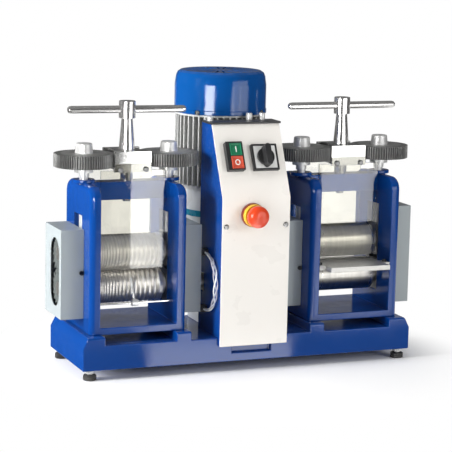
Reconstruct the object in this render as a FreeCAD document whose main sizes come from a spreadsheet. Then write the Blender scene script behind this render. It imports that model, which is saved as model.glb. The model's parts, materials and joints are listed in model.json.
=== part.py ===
import FreeCAD, Part
import math
import os
import re
import Sketcher

# Bench rolling mill with two roll stands, a vertical geared motor between them and a control console.
# X runs along the rolls, Y from front to back, Z up. The origin lies on the bench under the roll axes,
# midway between the stands. All lengths are millimetres.

os.makedirs("parts", exist_ok=True)
doc = FreeCAD.newDocument("RollingMill")
sheet = doc.addObject("Spreadsheet::Sheet", "Sizes")
point = FreeCAD.Vector

# Every driving size has one cell and one alias.
sizes = {
    # bench feet and plinth casting
    "footRadius": 12.5,
    "footHeight": 19,
    "footInset": 18,
    "footMargin": 15,
    "plinthFront": 100,
    "plinthRear": 112,
    "deckThick": 46.5,
    "padRise": 15.9,
    "padMargin": 5,
    "endMargin": 19,
    "endSlope": 10,
    "endSlopeRise": 19.4,
    "frontRelief": 5,
    "notchWide": 80,
    "notchTall": 17,
    "notchLow": 16.5,
    "notchDeep": 10,
    # stand castings
    "standReach": 220,
    "windowHalf": 74.4,
    "cheekThick": 19.6,
    "cheekHalf": 81.5,
    "cheekTall": 273.6,
    "shoulderRound": 25,
    "edgeRound": 11,
    "sillTall": 13,
    "bridgeHalf": 17.5,
    "bridgeTall": 33.5,
    "bridgeRise": 1,
    "bossRadius": 21,
    "bossTall": 5,
    # rolls and their bearings
    "rollRadius": 32.5,
    "rollHalf": 65,
    "rollRise": 157,
    "nipFine": 0.4,
    "nipPlain": 2,
    "journalRadius": 15,
    "flangeRadius": 20,
    "endPlay": 0.2,
    "runFit": 0.05,
    "slideFit": 0.1,
    "slotHalf": 25,
    "chockBelow": 32,
    "chockAbove": 30,
    "slotTop": 139,
    "grooveMargin": 4,
    "grooveFirst": 1.2,
    "grooveGrow": 0.42,
    "grooveLand": 2.6,
    "driveRadius": 12,
    # roll gears
    "rollTeeth": 16,
    "rollGearWide": 26,
    "rollGearInset": 12,
    "collarRadius": 18,
    "gearSeat": 13,
    "toothSlack": 0.6,
    # pressure screws, their gears and the cross handles
    "gearModule": 1.5,
    "screwTeeth": 73,
    "pinionTeeth": 38,
    "meshSlack": 0.3,
    "screwRadius": 8,
    "screwNeck": 10.2,
    "neckDrop": 9.5,
    "hubRadius": 17.5,
    "hubGap": 12.1,
    "hubTall": 10.9,
    "screwGearTall": 24.8,
    "capRadius": 17,
    "capTop": 15.2,
    "capTall": 18.6,
    "spindleRadius": 7,
    "spindleTail": 5.5,
    "spindleFoot": 15,
    "spindleWaist": 10.4,
    "spindleTall": 58,
    "gripHubRadius": 15.6,
    "gripHubTall": 32,
    "barRadius": 7,
    "barHalf": 113,
    "barTurn": 4.3,
    # gear guards and clear shields
    "guardHalf": 36,
    "guardInner": 31.2,
    "guardWall": 6,
    "guardRise": 20,
    "guardTall": 38.6,
    "guardFloor": 3,
    "guardRoof": 5.6,
    "guardTie": 25,
    "sleeveRadius": 12,
    "gearGap": 0.4,
    "shieldHalf": 63,
    "shieldThick": 3,
    "shieldStep": 1,
    "tabRise": 12,
    "shieldScrewReach": 25,
    # side covers over the roll gears
    "coverDeep": 44,
    "coverSheet": 2,
    "coverFront": 40,
    "coverRear": 62,
    "coverLow": 105,
    "coverTall": 167.5,
    "tallCoverDrop": 4.5,
    "tallCoverTall": 192,
    "ovalHalf": 28,
    "ovalTall": 128.5,
    "ovalRise": 20,
    "lugDeep": 10,
    "lugTall": 10,
    "coverScrewFine": 34.5,
    "coverScrewPlain": 22.5,
    # screws
    "panScrewRadius": 2.5,
    "panHeadRadius": 5,
    "panHeadTall": 3,
    "socketScrewRadius": 2,
    "socketHeadRadius": 4,
    "socketHeadTall": 4,
    "screwGrip": 8,
    # control console
    "consoleHalf": 68,
    "wallSheet": 2,
    "panelSheet": 2,
    "panelFront": 108.4,
    "panelLow": 50.5,
    "panelBend": 330,
    "panelTop": 462,
    "panelTopFront": 45,
    "consoleBack": 8,
    "flangeWide": 13,
    "lidThick": 4,
    "lidOver": 3,
    "lidBack": 2,
    "panelScrewReach": 60,
    "panelScrewRise": 278,
    "shaftNotch": 17,
    # control devices, measured up the leaning part of the panel
    "switchLeft": 52,
    "switchWide": 34,
    "switchLow": 52.5,
    "switchTall": 56,
    "switchProud": 12,
    "keyWide": 23,
    "keyTall": 24,
    "keyOffset": 8,
    "keyPitch": 25.5,
    "keyInset": 3,
    "keyProud": 1.5,
    "keyTravel": 3,
    "keyGap": 0.3,
    "selectorMid": 26.2,
    "selectorLow": 52,
    "selectorSide": 51.5,
    "selectorProud": 9,
    "dialSide": 44,
    "dialThick": 1,
    "knobRadius": 17,
    "knobTall": 5,
    "leverWide": 12,
    "leverLong": 42,
    "leverTall": 15,
    "stemRadius": 5,
    "stopOffset": 8.5,
    "stopRise": 299,
    "stopCollar": 22.5,
    "stopBase": 9,
    "stopRing": 8.6,
    "stopTravel": 4,
    "stopHead": 20.8,
    "stopHeadDeep": 20,
    "stopStem": 9,
    # gearbox and motor
    "motorBack": 88,
    "boxHalf": 56,
    "boxFront": 40,
    "boxRear": 108,
    "boxTop": 245,
    "boxShelf": 40,
    "boxRound": 12,
    "outletRadius": 24,
    "outletReach": 63,
    "driveSeat": 12,
    "columnRadius": 68,
    "bandRise": 27,
    "bandTall": 12,
    "bandThick": 1,
    "motorLow": 325,
    "flangeTall": 8.5,
    "flangeReach": 76,
    "coreRadius": 73,
    "finReach": 87,
    "finThick": 2.6,
    "finCount": 44,
    "finTop": 468,
    "bellTall": 18,
    "cowlRadius": 89,
    "cowlSheet": 2.5,
    "cowlLow": 472,
    "cowlTall": 81,
    "cowlShoulder": 27,
    "cowlCrown": 7,
    "rimTall": 8,
    "rimOver": 1,
    "ventIn": 24,
    "ventOut": 70,
    "ventWide": 4,
    "fanShaft": 12,
    "fanHub": 20,
    "fanRadius": 72,
    "fanBlades": 8,
    "fanDisc": 4,
    "bladeTall": 26,
    "bladeThick": 3,
    "fanClear": 6,
    # stock table, guide rod and wire guide
    "tableHalf": 62.5,
    "tableFront": 108,
    "tableThick": 9.5,
    "tableBack": 20,
    "tableBevel": 10,
    "tableEar": 24,
    "rodRadius": 2,
    "rodFront": 57,
    "rodRise": 134,
    "rodSeat": 6,
    "guideRadius": 6,
    "guideLong": 12,
    "fingerLong": 49,
    "fingerLean": 29,
    # conduit on the console wall
    "cableRadius": 3.5,
    "cableOff": 7.5,
    "glandLong": 14,
    "glandHalf": 6,
}
for row, (alias, value) in enumerate(sizes.items(), start=1):
    sheet.set("A%d" % row, alias)
    sheet.set("B%d" % row, str(value))
    sheet.setAlias("B%d" % row, alias)
doc.recompute()
words = re.compile(r"\b(" + "|".join(sizes) + r")\b")

# Places that several pieces share, written once in terms of the sizes.
deck = "(footHeight + deckThick)"
padTop = "(%s + padRise)" % deck
cheekTop = "(%s + cheekTall)" % padTop
bridgeTop = "(%s + bridgeRise)" % cheekTop
bossTop = "(%s + bridgeRise + bossTall)" % cheekTop
cheekOut = "(windowHalf + cheekThick)"
plinthEnd = "(standReach + %s + endMargin)" % cheekOut
slotLow = "(rollRise - chockBelow)"
slotHigh = "(rollRise + slotTop)"
nipRise = "(rollRise + rollRadius)"
screwReach = "((screwTeeth + pinionTeeth) * gearModule / 2)"
guardLow = "(%s + guardRise)" % bridgeTop
guardHigh = "(%s + guardTall)" % guardLow
guardOut = "(guardInner + guardWall)"
shieldTop = "(%s - shieldStep)" % guardLow
gearIn = "(%s + rollGearInset)" % cheekOut
gearOut = "(%s + rollGearWide)" % gearIn
coverOut = "(%s + coverDeep)" % cheekOut
leaning = "atan((panelFront - panelTopFront) / (panelTop - panelBend))"
bellTop = "(finTop + bellTall)"
cowlTop = "(cowlLow + cowlTall)"


def link(text):
    return words.sub(r"Sizes.\1", str(text))


def number(alias):
    return float(sheet.get(alias))


turns = {
    "x": FreeCAD.Rotation(point(0, 1, 0), 90),
    "y": FreeCAD.Rotation(point(1, 0, 0), -90),
    "front": FreeCAD.Rotation(point(1, 0, 0), 90),
    "z": FreeCAD.Rotation(),
    "down": FreeCAD.Rotation(point(1, 0, 0), 180),
    "-x": FreeCAD.Rotation(point(0, 1, 0), -90),
}


def place(piece, x, y, z, way="z"):
    piece.Placement = FreeCAD.Placement(point(0, 0, 0), turns[way])
    for axis, text in zip("xyz", (x, y, z)):
        piece.setExpression("Placement.Base." + axis, link(text))
    return piece


def lean_back(piece):
    # stands a piece made at the origin on the leaning part of the panel
    piece.Placement = FreeCAD.Placement(point(0, 0, 0), FreeCAD.Rotation(point(-1, 0, 0), 10))
    piece.setExpression("Placement.Rotation.Angle", link(leaning))
    piece.setExpression("Placement.Base.y", link("-panelFront"))
    piece.setExpression("Placement.Base.z", link("panelBend"))
    return piece


def box(name, x, y, z):
    piece = doc.addObject("Part::Box", name)
    piece.setExpression("Length", link("(%s) - (%s)" % (x[1], x[0])))
    piece.setExpression("Width", link("(%s) - (%s)" % (y[1], y[0])))
    piece.setExpression("Height", link("(%s) - (%s)" % (z[1], z[0])))
    return place(piece, x[0], y[0], z[0])


def rod(name, radius, length, x, y, z, way="z"):
    piece = doc.addObject("Part::Cylinder", name)
    piece.setExpression("Radius", link(radius))
    piece.setExpression("Height", link(length))
    return place(piece, x, y, z, way)


def fuse(name, pieces):
    piece = doc.addObject("Part::MultiFuse", name)
    piece.Shapes = pieces
    return piece


def group(name, pieces):
    piece = doc.addObject("Part::Compound", name)
    piece.Links = pieces
    return piece


def cut(name, base, tools):
    piece = doc.addObject("Part::Cut", name)
    piece.Base = base
    piece.Tool = tools[0] if len(tools) == 1 else group(name + "_holes", tools)
    return piece


def round_off(name, base, rules):
    # fillets every edge that a rule picks, each with its own radius
    doc.recompute()
    piece = doc.addObject("Part::Fillet", name)
    piece.Base = base
    picked = []
    for index, edge in enumerate(base.Shape.Edges, start=1):
        for rule, radius in rules:
            if rule(edge):
                picked.append((index, radius, radius))
                break
    piece.Edges = picked
    return piece


def runs_along(edge, axis):
    if edge.Curve.TypeId != "Part::GeomLine":
        return False
    start, end = edge.Vertexes[0].Point, edge.Vertexes[-1].Point
    return abs(abs((end - start).normalize()[axis]) - 1) < 1e-6


def outline(body, plane, corners):
    # a closed sketch on one of the body's own planes with every corner tied to the sheet
    sketch = body.newObject("Sketcher::SketchObject", body.Name + "_sketch")
    role = [item for item in body.Origin.OriginFeatures if item.Role == plane][0]
    sketch.AttachmentSupport = (role, [""])
    sketch.MapMode = "FlatFace"
    count = len(corners)
    starts = [point(50 * math.cos(2 * math.pi * index / count), 50 * math.sin(2 * math.pi * index / count), 0)
              for index in range(count)]
    lines = [Part.LineSegment(starts[index], starts[(index + 1) % count]) for index in range(count)]
    sketch.addGeometry(lines, False)
    rules = [Sketcher.Constraint("Coincident", index, 2, (index + 1) % count, 1) for index in range(count)]
    for index, start in enumerate(starts):
        rules.append(Sketcher.Constraint("DistanceX", -1, 1, index, 1, start.x))
        rules.append(Sketcher.Constraint("DistanceY", -1, 1, index, 1, start.y))
    sketch.addConstraint(rules)
    for index, corner in enumerate(corners):
        for step, text in enumerate(corner):
            sketch.setExpression("Constraints[%d]" % (count + 2 * index + step), link(text))
    return sketch


def turned(name, profile, x, y, z, way="z"):
    # a turned piece: the profile's corners are (radius, height) pairs
    body = doc.addObject("PartDesign::Body", name)
    sketch = outline(body, "XZ_Plane", profile)
    spin = body.newObject("PartDesign::Revolution", name + "_turn")
    spin.Profile = sketch
    spin.ReferenceAxis = (sketch, ["V_Axis"])
    spin.Angle = 360
    return place(body, x, y, z, way)


def slab(name, plane, corners, thick, x="0", y="0", z="0"):
    # a flat piece: a closed outline padded along its plane's normal
    body = doc.addObject("PartDesign::Body", name)
    sketch = outline(body, plane, corners)
    pad = body.newObject("PartDesign::Pad", name + "_pad")
    pad.Profile = sketch
    pad.setExpression("Length", link(thick))
    return place(body, x, y, z)


def span(side, low, high):
    # a run along X on one stand, measured outwards from the stand's middle
    ends = ["%d * (standReach + (%s))" % (side, text) for text in (low, high)]
    return ends if side > 0 else ends[::-1]


def at(side, text):
    return "%d * (standReach + (%s))" % (side, text)


def gear_outline(teeth, module, pressure, slack, first):
    # involute flanks, thinned for backlash, joined by straight tips and roots
    pitch = teeth * module / 2
    base = pitch * math.cos(pressure)
    tip = pitch + module
    root = max(pitch - 1.25 * module, base * 0.9)
    half = math.pi / (2 * teeth) - slack / (4 * pitch)
    roll_pitch = math.tan(pressure) - pressure
    flank = []
    start = max(base, root)
    for step in range(6):
        radius = start + (tip - start) * step / 5
        turn = math.acos(min(1, base / radius))
        flank.append((radius, half + roll_pitch - (math.tan(turn) - turn)))
    corners = []
    for tooth in range(teeth):
        middle = first + 2 * math.pi * tooth / teeth
        low = [(root, flank[0][1])] if root < start else []
        for radius, turn in low + flank:
            corners.append((radius, middle - turn))
        for radius, turn in (low + flank)[::-1]:
            corners.append((radius, middle + turn))
    loop = [point(radius * math.cos(turn), radius * math.sin(turn), 0) for radius, turn in corners]
    return Part.makePolygon(loop + [loop[0]])


def gear(name, teeth, module, pressure, slack, thick, bore, turn):
    # the tooth outline follows the tooth count and module, so it is worked out rather than sketched
    blank = Part.Face(gear_outline(int(teeth), module, math.radians(pressure), slack, math.radians(turn)))
    shape = blank.extrude(point(0, 0, thick))
    if bore:
        shape = shape.cut(Part.makeCylinder(bore, thick))
    piece = doc.addObject("Part::Feature", name)
    piece.Shape = shape
    return piece


nodes = []


def keep(piece, label):
    piece.Label = label
    nodes.append(piece)
    return piece


def pan_screw(name, x, y, z, way):
    # a pan head with its shank running the other way into the piece it holds
    profile = [("0", "-screwGrip"), ("panScrewRadius", "-screwGrip"), ("panScrewRadius", "0"),
               ("panHeadRadius", "0"), ("panHeadRadius", "panHeadTall * 0.5"),
               ("panHeadRadius * 0.6", "panHeadTall"), ("0", "panHeadTall")]
    return turned(name, profile, x, y, z, way)


def pan_hole(name, x, y, z, way):
    # the bore for a pan head screw's shank, from the seat inwards
    back = {"front": "y", "y": "front", "z": "down", "x": "-x", "-x": "x"}[way]
    return rod(name, "panScrewRadius", "screwGrip", x, y, z, back)


def socket_screw(name, x, y, z, way):
    profile = [("0", "-screwGrip"), ("socketScrewRadius", "-screwGrip"), ("socketScrewRadius", "0"),
               ("socketHeadRadius", "0"), ("socketHeadRadius", "socketHeadTall"),
               ("socketHeadRadius * 0.55", "socketHeadTall"),
               ("socketHeadRadius * 0.55", "socketHeadTall * 0.4"), ("0", "socketHeadTall * 0.4")]
    return turned(name, profile, x, y, z, way)


def socket_hole(name, x, y, z, way):
    back = {"front": "y", "y": "front", "z": "down"}[way]
    return rod(name, "socketScrewRadius", "screwGrip", x, y, z, back)


# Plinth casting: a flat deck with four front-to-back pads that carry the stands, on four feet.
def plinth():
    half = []
    for low, high in (("windowHalf - padMargin", "%s + padMargin" % cheekOut),
                      ("-%s - padMargin" % cheekOut, "-windowHalf + padMargin")):
        half.append(("standReach + (%s)" % low, "standReach + (%s)" % high))
    (outer_in, outer_out), (inner_in, inner_out) = half
    right = [(plinthEnd, "footHeight"), (plinthEnd, "%s - endSlopeRise" % padTop),
             ("%s - endSlope" % plinthEnd, padTop), (outer_in, padTop), (outer_in, deck),
             (inner_out, deck), (inner_out, padTop), (inner_in, padTop), (inner_in, deck)]
    left = [("-(%s)" % x, z) for x, z in right[::-1]]
    body = slab("plinth_blank", "XZ_Plane", right + left, "plinthFront + plinthRear", y="plinthRear")
    notch = box("plinth_notch", ("-notchWide / 2", "notchWide / 2"),
                ("-plinthFront", "-plinthFront + notchDeep"),
                ("footHeight + notchLow", "footHeight + notchLow + notchTall"))
    piece = cut("plinth_cut", body, [notch])

    def pad_front(edge):
        ends = [vertex.Point for vertex in edge.Vertexes]
        high = min(end.z for end in ends) > number("footHeight") + number("deckThick") + 1
        level = abs(ends[0].z - ends[-1].z) < 0.1
        return high and level and max(end.y for end in ends) < -number("plinthFront") + 0.1
    return round_off("plinth", piece, [(pad_front, number("frontRelief"))])


keep(plinth(), "plinth")
feet = []
for side in (-1, 1):
    for row, place_y in (("front", "-plinthFront + footMargin"), ("rear", "plinthRear - footMargin")):
        feet.append(turned("foot_%s_%s" % (row, "left" if side < 0 else "right"),
                           [("0", "0"), ("footRadius", "0"), ("footRadius", "footHeight * 0.55"),
                            ("footRadius * 0.75", "footHeight * 0.7"),
                            ("footRadius * 0.75", "footHeight"), ("0", "footHeight")],
                           "%d * (%s - footInset)" % (side, plinthEnd), place_y, "0"))
keep(group("feet", feet), "feet")

# Fasteners are collected over the whole machine, one node for each kind.
pan_screws = []
socket_screws = []
lower_chocks = []


def stand(side, word, nip, cover_screw):
    axis_high = "(rollRise + 2 * rollRadius + %s)" % nip
    chock_top = "(%s + chockBelow + 1)" % axis_high
    hub_low = "(%s + hubGap + %s)" % (bossTop, nip)
    gear_low = "(%s + hubTall)" % hub_low
    cap_low = "(%s + screwGearTall)" % gear_low
    cap_high = "(%s + capTall)" % cap_low
    middle = at(side, "0")

    # casting: two cheeks with a slot each, a bridge on top, a sill below and two screw bosses
    cheeks = []
    for reach in (-1, 1):
        low, high = ("windowHalf", cheekOut) if reach > 0 else ("-%s" % cheekOut, "-windowHalf")
        blank = box("%s_cheek_%d" % (word, reach), span(side, low, high), ("-cheekHalf", "cheekHalf"),
                    (padTop, cheekTop))
        outside = side * (number("standReach") + reach * (number("windowHalf") + number("cheekThick")))

        def corner(edge):
            top = number("footHeight") + number("deckThick") + number("padRise") + number("cheekTall")
            return runs_along(edge, 0) and edge.Vertexes[0].Point.z > top - 0.1

        def outer(edge):
            ends = [vertex.Point for vertex in edge.Vertexes]
            foot = number("footHeight") + number("deckThick") + number("padRise")
            return (all(abs(end.x - outside) < 0.1 for end in ends)
                    and max(end.z for end in ends) > foot + 0.1)

        blank = round_off("%s_cheek_shoulders_%d" % (word, reach), blank, [(corner, number("shoulderRound"))])
        cheeks.append(round_off("%s_cheek_round_%d" % (word, reach), blank, [(outer, number("edgeRound"))]))
    bridge = box(word + "_bridge", span(side, "-windowHalf - 1", "windowHalf + 1"),
                 ("-bridgeHalf", "bridgeHalf"), ("%s - bridgeTall" % bridgeTop, bridgeTop))
    sill = box(word + "_sill", span(side, "-windowHalf - 1", "windowHalf + 1"),
               ("-cheekHalf", "cheekHalf"), (padTop, "%s + sillTall" % padTop))
    bosses = []
    bores = []
    for reach in (-1, 1):
        x = at(side, "%d * %s" % (reach, screwReach))
        bosses.append(rod("%s_boss_%d" % (word, reach), "bossRadius", "bridgeRise + bossTall + 1",
                          x, "0", "%s - 1" % cheekTop))
        bores.append(rod("%s_screw_bore_%d" % (word, reach), "screwRadius + runFit",
                         "%s - %s + 1" % (bossTop, slotHigh), x, "0", slotHigh))
        low, high = ("windowHalf - 1", "%s + 1" % cheekOut)
        if reach < 0:
            low, high = ("-%s - 1" % cheekOut, "-windowHalf + 1")
        bores.append(box("%s_slot_%d" % (word, reach), span(side, low, high),
                         ("-slotHalf", "slotHalf"), (slotLow, slotHigh)))
    bores.append(rod(word + "_spindle_bore", "spindleRadius + runFit", "bridgeTall + 2", middle, "0",
                     "%s - bridgeTall - 1" % bridgeTop))
    # lugs that take the cover screws stand on the outside of each cheek
    lugs = []
    screw_z = "rollRise + %s" % cover_screw
    for reach in (-1, 1):
        low, high = (cheekOut, "%s + lugDeep" % cheekOut)
        if reach < 0:
            low, high = ("-%s - lugDeep" % cheekOut, "-%s" % cheekOut)
        x = at(side, "%d * (%s + lugDeep / 2)" % (reach, cheekOut))
        for row, face, way in (("front", "-coverFront", "front"), ("rear", "coverRear", "y")):
            inner = "(%s) + coverSheet" % face if row == "front" else "(%s) - coverSheet" % face
            ends = (inner, "%s + screwGrip" % inner) if row == "front" else ("%s - screwGrip" % inner, inner)
            lugs.append(box("%s_lug_%s_%d" % (word, row, reach), span(side, low, high), ends,
                            ("%s - lugTall / 2" % screw_z, "%s + lugTall / 2" % screw_z)))
            name = "%s_cover_screw_%s_%d" % (word, row, reach)
            socket_screws.append(socket_screw(name, x, face, screw_z, way))
            bores.append(socket_hole(name + "_hole", x, face, screw_z, way))
    if side < 0:
        for reach in (-1, 1):
            bores.append(rod("%s_rod_seat_%d" % (word, reach), "rodRadius", "rodSeat",
                             at(side, "%d * windowHalf" % reach), "-rodFront", "rodRise",
                             "x" if side * reach > 0 else "-x"))
    casting = fuse(word + "_casting", cheeks + [bridge, sill] + bosses + lugs)
    keep(cut(word + "_stand", casting, bores), word + "_stand")

    # bearing blocks: the lower pair is fixed, the upper pair slides in the slots
    for reach in (-1, 1):
        low, high = ("windowHalf", cheekOut) if reach > 0 else ("-%s" % cheekOut, "-windowHalf")
        block = box("%s_lower_block_%d" % (word, reach), span(side, low, high), ("-slotHalf", "slotHalf"),
                    (slotLow, "rollRise + chockAbove"))
        hole = rod("%s_lower_bearing_%d" % (word, reach), "journalRadius + runFit", "cheekThick + 2",
                   at(side, "%s - 1" % low) if side > 0 else at(side, "%s + 1" % high),
                   "0", "rollRise", "x")
        lower_chocks.append(cut("%s_lower_chock_%d" % (word, reach), block, [hole]))
    upper = []
    for reach in (-1, 1):
        low, high = ("windowHalf", cheekOut) if reach > 0 else ("-%s" % cheekOut, "-windowHalf")
        block = box("%s_upper_block_%d" % (word, reach), span(side, low, high),
                    ("-slotHalf + slideFit", "slotHalf - slideFit"),
                    ("%s - chockAbove" % axis_high, chock_top))
        hole = rod("%s_upper_bearing_%d" % (word, reach), "journalRadius + runFit", "cheekThick + 2",
                   at(side, "%s - 1" % low) if side > 0 else at(side, "%s + 1" % high),
                   "0", axis_high, "x")
        upper.append(cut("%s_upper_chock_%d" % (word, reach), block, [hole]))
    keep(group(word + "_upper_chocks", upper), word + "_upper_chocks")

    # rolls turned with their journals; the lower one runs on to the gearbox
    inside = {"lower": "-(standReach - boxHalf + driveSeat)", "upper": "-(%s + 4)" % cheekOut}
    for level, axis in (("lower", "rollRise"), ("upper", axis_high)):
        face = "rollHalf"
        grip = "(windowHalf - endPlay)"
        profile = [("0", inside[level]), ("driveRadius", inside[level]),
                   ("driveRadius", "-(%s + endPlay)" % cheekOut),
                   ("journalRadius", "-(%s + endPlay)" % cheekOut), ("journalRadius", "-" + grip),
                   ("flangeRadius", "-" + grip), ("flangeRadius", "-" + face),
                   ("rollRadius", "-" + face)]
        if side < 0:
            for index in range(17)[::-1]:
                wide = "(grooveFirst + %d * grooveGrow) / 2" % index
                middle_x = ("rollHalf - grooveMargin - %d * grooveLand - %d * grooveFirst"
                            " - %s * grooveGrow - %s" % (index, index, index * (index - 1) / 2, wide))
                profile += [("rollRadius", "%s - %s" % (middle_x, wide)),
                            ("rollRadius - %s" % wide, middle_x),
                            ("rollRadius", "%s + %s" % (middle_x, wide))]
        profile += [("rollRadius", face), ("flangeRadius", face), ("flangeRadius", grip),
                    ("journalRadius", grip), ("journalRadius", "%s + endPlay" % cheekOut),
                    ("collarRadius", "%s + endPlay" % cheekOut), ("collarRadius", gearIn),
                    ("gearSeat", gearIn), ("gearSeat", gearOut), ("0", gearOut)]
        name = "%s_%s_roll" % (word, level)
        keep(turned(name, profile, middle, "0", axis, "x" if side > 0 else "-x"), name)

    # gears that carry the drive from the lower roll to the upper one
    module = (2 * number("rollRadius") + number("nipFine")) / number("rollTeeth")
    for level, axis in (("lower", "rollRise"), ("upper", axis_high)):
        half_step = 180 / number("rollTeeth")
        turn = 0 if level == "lower" else half_step
        name = "%s_%s_gear" % (word, level)
        wheel = gear(name, number("rollTeeth"), module, 25, number("toothSlack"),
                     number("rollGearWide"), number("gearSeat"), turn)
        keep(place(wheel, at(side, gearIn if side > 0 else gearOut), "0", axis, "x"), name)

    # pressure screws with their gears; each stands on an upper bearing block
    for reach, hand in ((-1, "inner"), (1, "outer")):
        x = at(side, "%d * %s" % (reach, screwReach))
        rise = "(%s - %s)"
        profile = [("0", "0"), ("screwRadius", "0"), ("screwRadius", rise % (hub_low, chock_top) + " - neckDrop"),
                   ("screwNeck", rise % (hub_low, chock_top) + " - neckDrop"),
                   ("screwNeck", rise % (hub_low, chock_top)), ("hubRadius", rise % (hub_low, chock_top)),
                   ("hubRadius", rise % (gear_low, chock_top)), ("gearSeat", rise % (gear_low, chock_top)),
                   ("gearSeat", rise % (cap_low, chock_top)), ("capRadius", rise % (cap_low, chock_top)),
                   ("capTop", rise % (cap_high, chock_top) + " - 1.5"),
                   ("capTop - 1.5", rise % (cap_high, chock_top)), ("0", rise % (cap_high, chock_top))]
        name = "%s_%s_screw" % (word, hand)
        keep(turned(name, profile, x, "0", chock_top), name)
        # the gap between two teeth faces the pinion
        faces = 180 if side * reach > 0 else 0
        wheel = gear(name + "_gear", number("screwTeeth"), number("gearModule"), 20,
                     number("meshSlack"), number("screwGearTall"), number("gearSeat"),
                     faces + 180 / number("screwTeeth"))
        keep(place(wheel, x, "0", gear_low), name + "_gear")

    # cross handle: a turned spindle with its pinion, and a bar through its head
    foot = "(%s + gearGap)" % guardHigh
    waist = "(%s + spindleTall)" % foot
    top = "(%s + gripHubTall)" % waist
    tail = "(%s - bridgeTall - spindleTail)" % bridgeTop
    profile = [("0", "0")] + [(radius, "%s - %s" % (z, tail)) for radius, z in (
        ("spindleRadius", foot), ("spindleFoot", foot), ("spindleWaist", waist),
        ("gripHubRadius", waist), ("gripHubRadius", top + " - 1"), ("gripHubRadius - 1", top), ("0", top))]
    profile.insert(1, ("spindleRadius", "0"))
    stem = turned(word + "_stem", profile, "0", "0", tail)
    pinion = gear(word + "_pinion", number("pinionTeeth"), number("gearModule"), 20, number("meshSlack"),
                  number("guardTall") - number("guardFloor") - number("guardRoof") - 2 * number("gearGap"),
                  0, number("barTurn") * (side < 0))
    place(pinion, "0", "0", "%s + guardFloor + gearGap" % guardLow)
    bar_z = "(%s + gripHubTall / 2)" % waist
    hole = rod(word + "_bar_hole", "barRadius", "2 * gripHubRadius + 2", "-gripHubRadius - 1", "0", bar_z, "x")
    spindle = cut(word + "_spindle", fuse(word + "_spindle_blank", [stem, pinion]), [hole])
    bar = turned(word + "_bar_turned", [("0", "-barHalf"), ("barRadius * 0.6", "-barHalf"),
                                        ("barRadius * 0.9", "-barHalf + barRadius * 0.35"),
                                        ("barRadius", "-barHalf + barRadius"),
                                        ("barRadius", "barHalf - barRadius"),
                                        ("barRadius * 0.9", "barHalf - barRadius * 0.35"),
                                        ("barRadius * 0.6", "barHalf"), ("0", "barHalf")],
                 "0", "0", bar_z, "x")
    for piece, label in ((spindle, "_spindle"), (group(word + "_bar", [bar]), "_bar")):
        piece.Placement = FreeCAD.Placement(point(0, 0, 0), FreeCAD.Rotation(point(0, 0, -1), 10))
        piece.setExpression("Placement.Rotation.Angle", link("barTurn") if side < 0 else "0")
        piece.setExpression("Placement.Base.x", link(middle))
        keep(piece, word + label)

    # guard block over the pinion, open at both sides for the screw gears
    walls = [box("%s_guard_%s" % (word, row), span(side, "-guardHalf", "guardHalf"), ends,
                 (guardLow, guardHigh))
             for row, ends in (("front", ("-" + guardOut, "-guardInner")), ("rear", ("guardInner", guardOut)))]
    roof = box(word + "_guard_roof", span(side, "-guardTie", "guardTie"), ("-guardInner", "guardInner"),
               ("%s - guardRoof" % guardHigh, guardHigh))
    floor = box(word + "_guard_floor", span(side, "-guardTie", "guardTie"), ("-guardInner", "guardInner"),
                (guardLow, "%s + guardFloor" % guardLow))
    sleeve = rod(word + "_guard_sleeve", "sleeveRadius", "guardRise", middle, "0", bridgeTop)
    bores = [rod(word + "_guard_bore", "spindleRadius + runFit", "guardRise + guardTall + 2", middle, "0",
                 "%s - 1" % bridgeTop)]
    shields = []
    screw_z = "(%s + 1)" % shieldTop
    for row, way, turn_sign in (("front", "front", "-"), ("rear", "y", "")):
        near, far = "%s%s" % (turn_sign, guardOut), "%s(%s + shieldThick)" % (turn_sign, guardOut)
        ends = (far, near) if row == "front" else (near, far)
        corners = [("-shieldHalf", nipRise + " + 5"), ("shieldHalf", nipRise + " + 5"),
                   ("shieldHalf", shieldTop + " + 5"), ("guardHalf", shieldTop + " + 5"),
                   ("guardHalf", shieldTop + " + tabRise + 5"), ("-guardHalf", shieldTop + " + tabRise + 5"),
                   ("-guardHalf", shieldTop + " + 5"), ("-shieldHalf", shieldTop + " + 5")]
        sheet_piece = slab("%s_shield_%s" % (word, row), "XZ_Plane", corners, "shieldThick", middle, ends[1])
        holes = []
        for reach in (-1, 1):
            name = "%s_shield_screw_%s_%d" % (word, row, reach)
            x = at(side, "%d * shieldScrewReach" % reach)
            pan_screws.append(pan_screw(name, x, far, screw_z + " + 5", way))
            holes.append(pan_hole(name + "_hole", x, far, screw_z + " + 5", way))
            bores.append(pan_hole(name + "_seat", x, far, screw_z + " + 5", way))
        shields.append(cut("%s_shield_%s_drilled" % (word, row), sheet_piece, holes))
    block = fuse(word + "_guard_blank", walls + [roof, floor, sleeve])
    keep(cut(word + "_guard", block, bores), word + "_guard")
    keep(group(word + "_shields", shields), word + "_shields")

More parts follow.
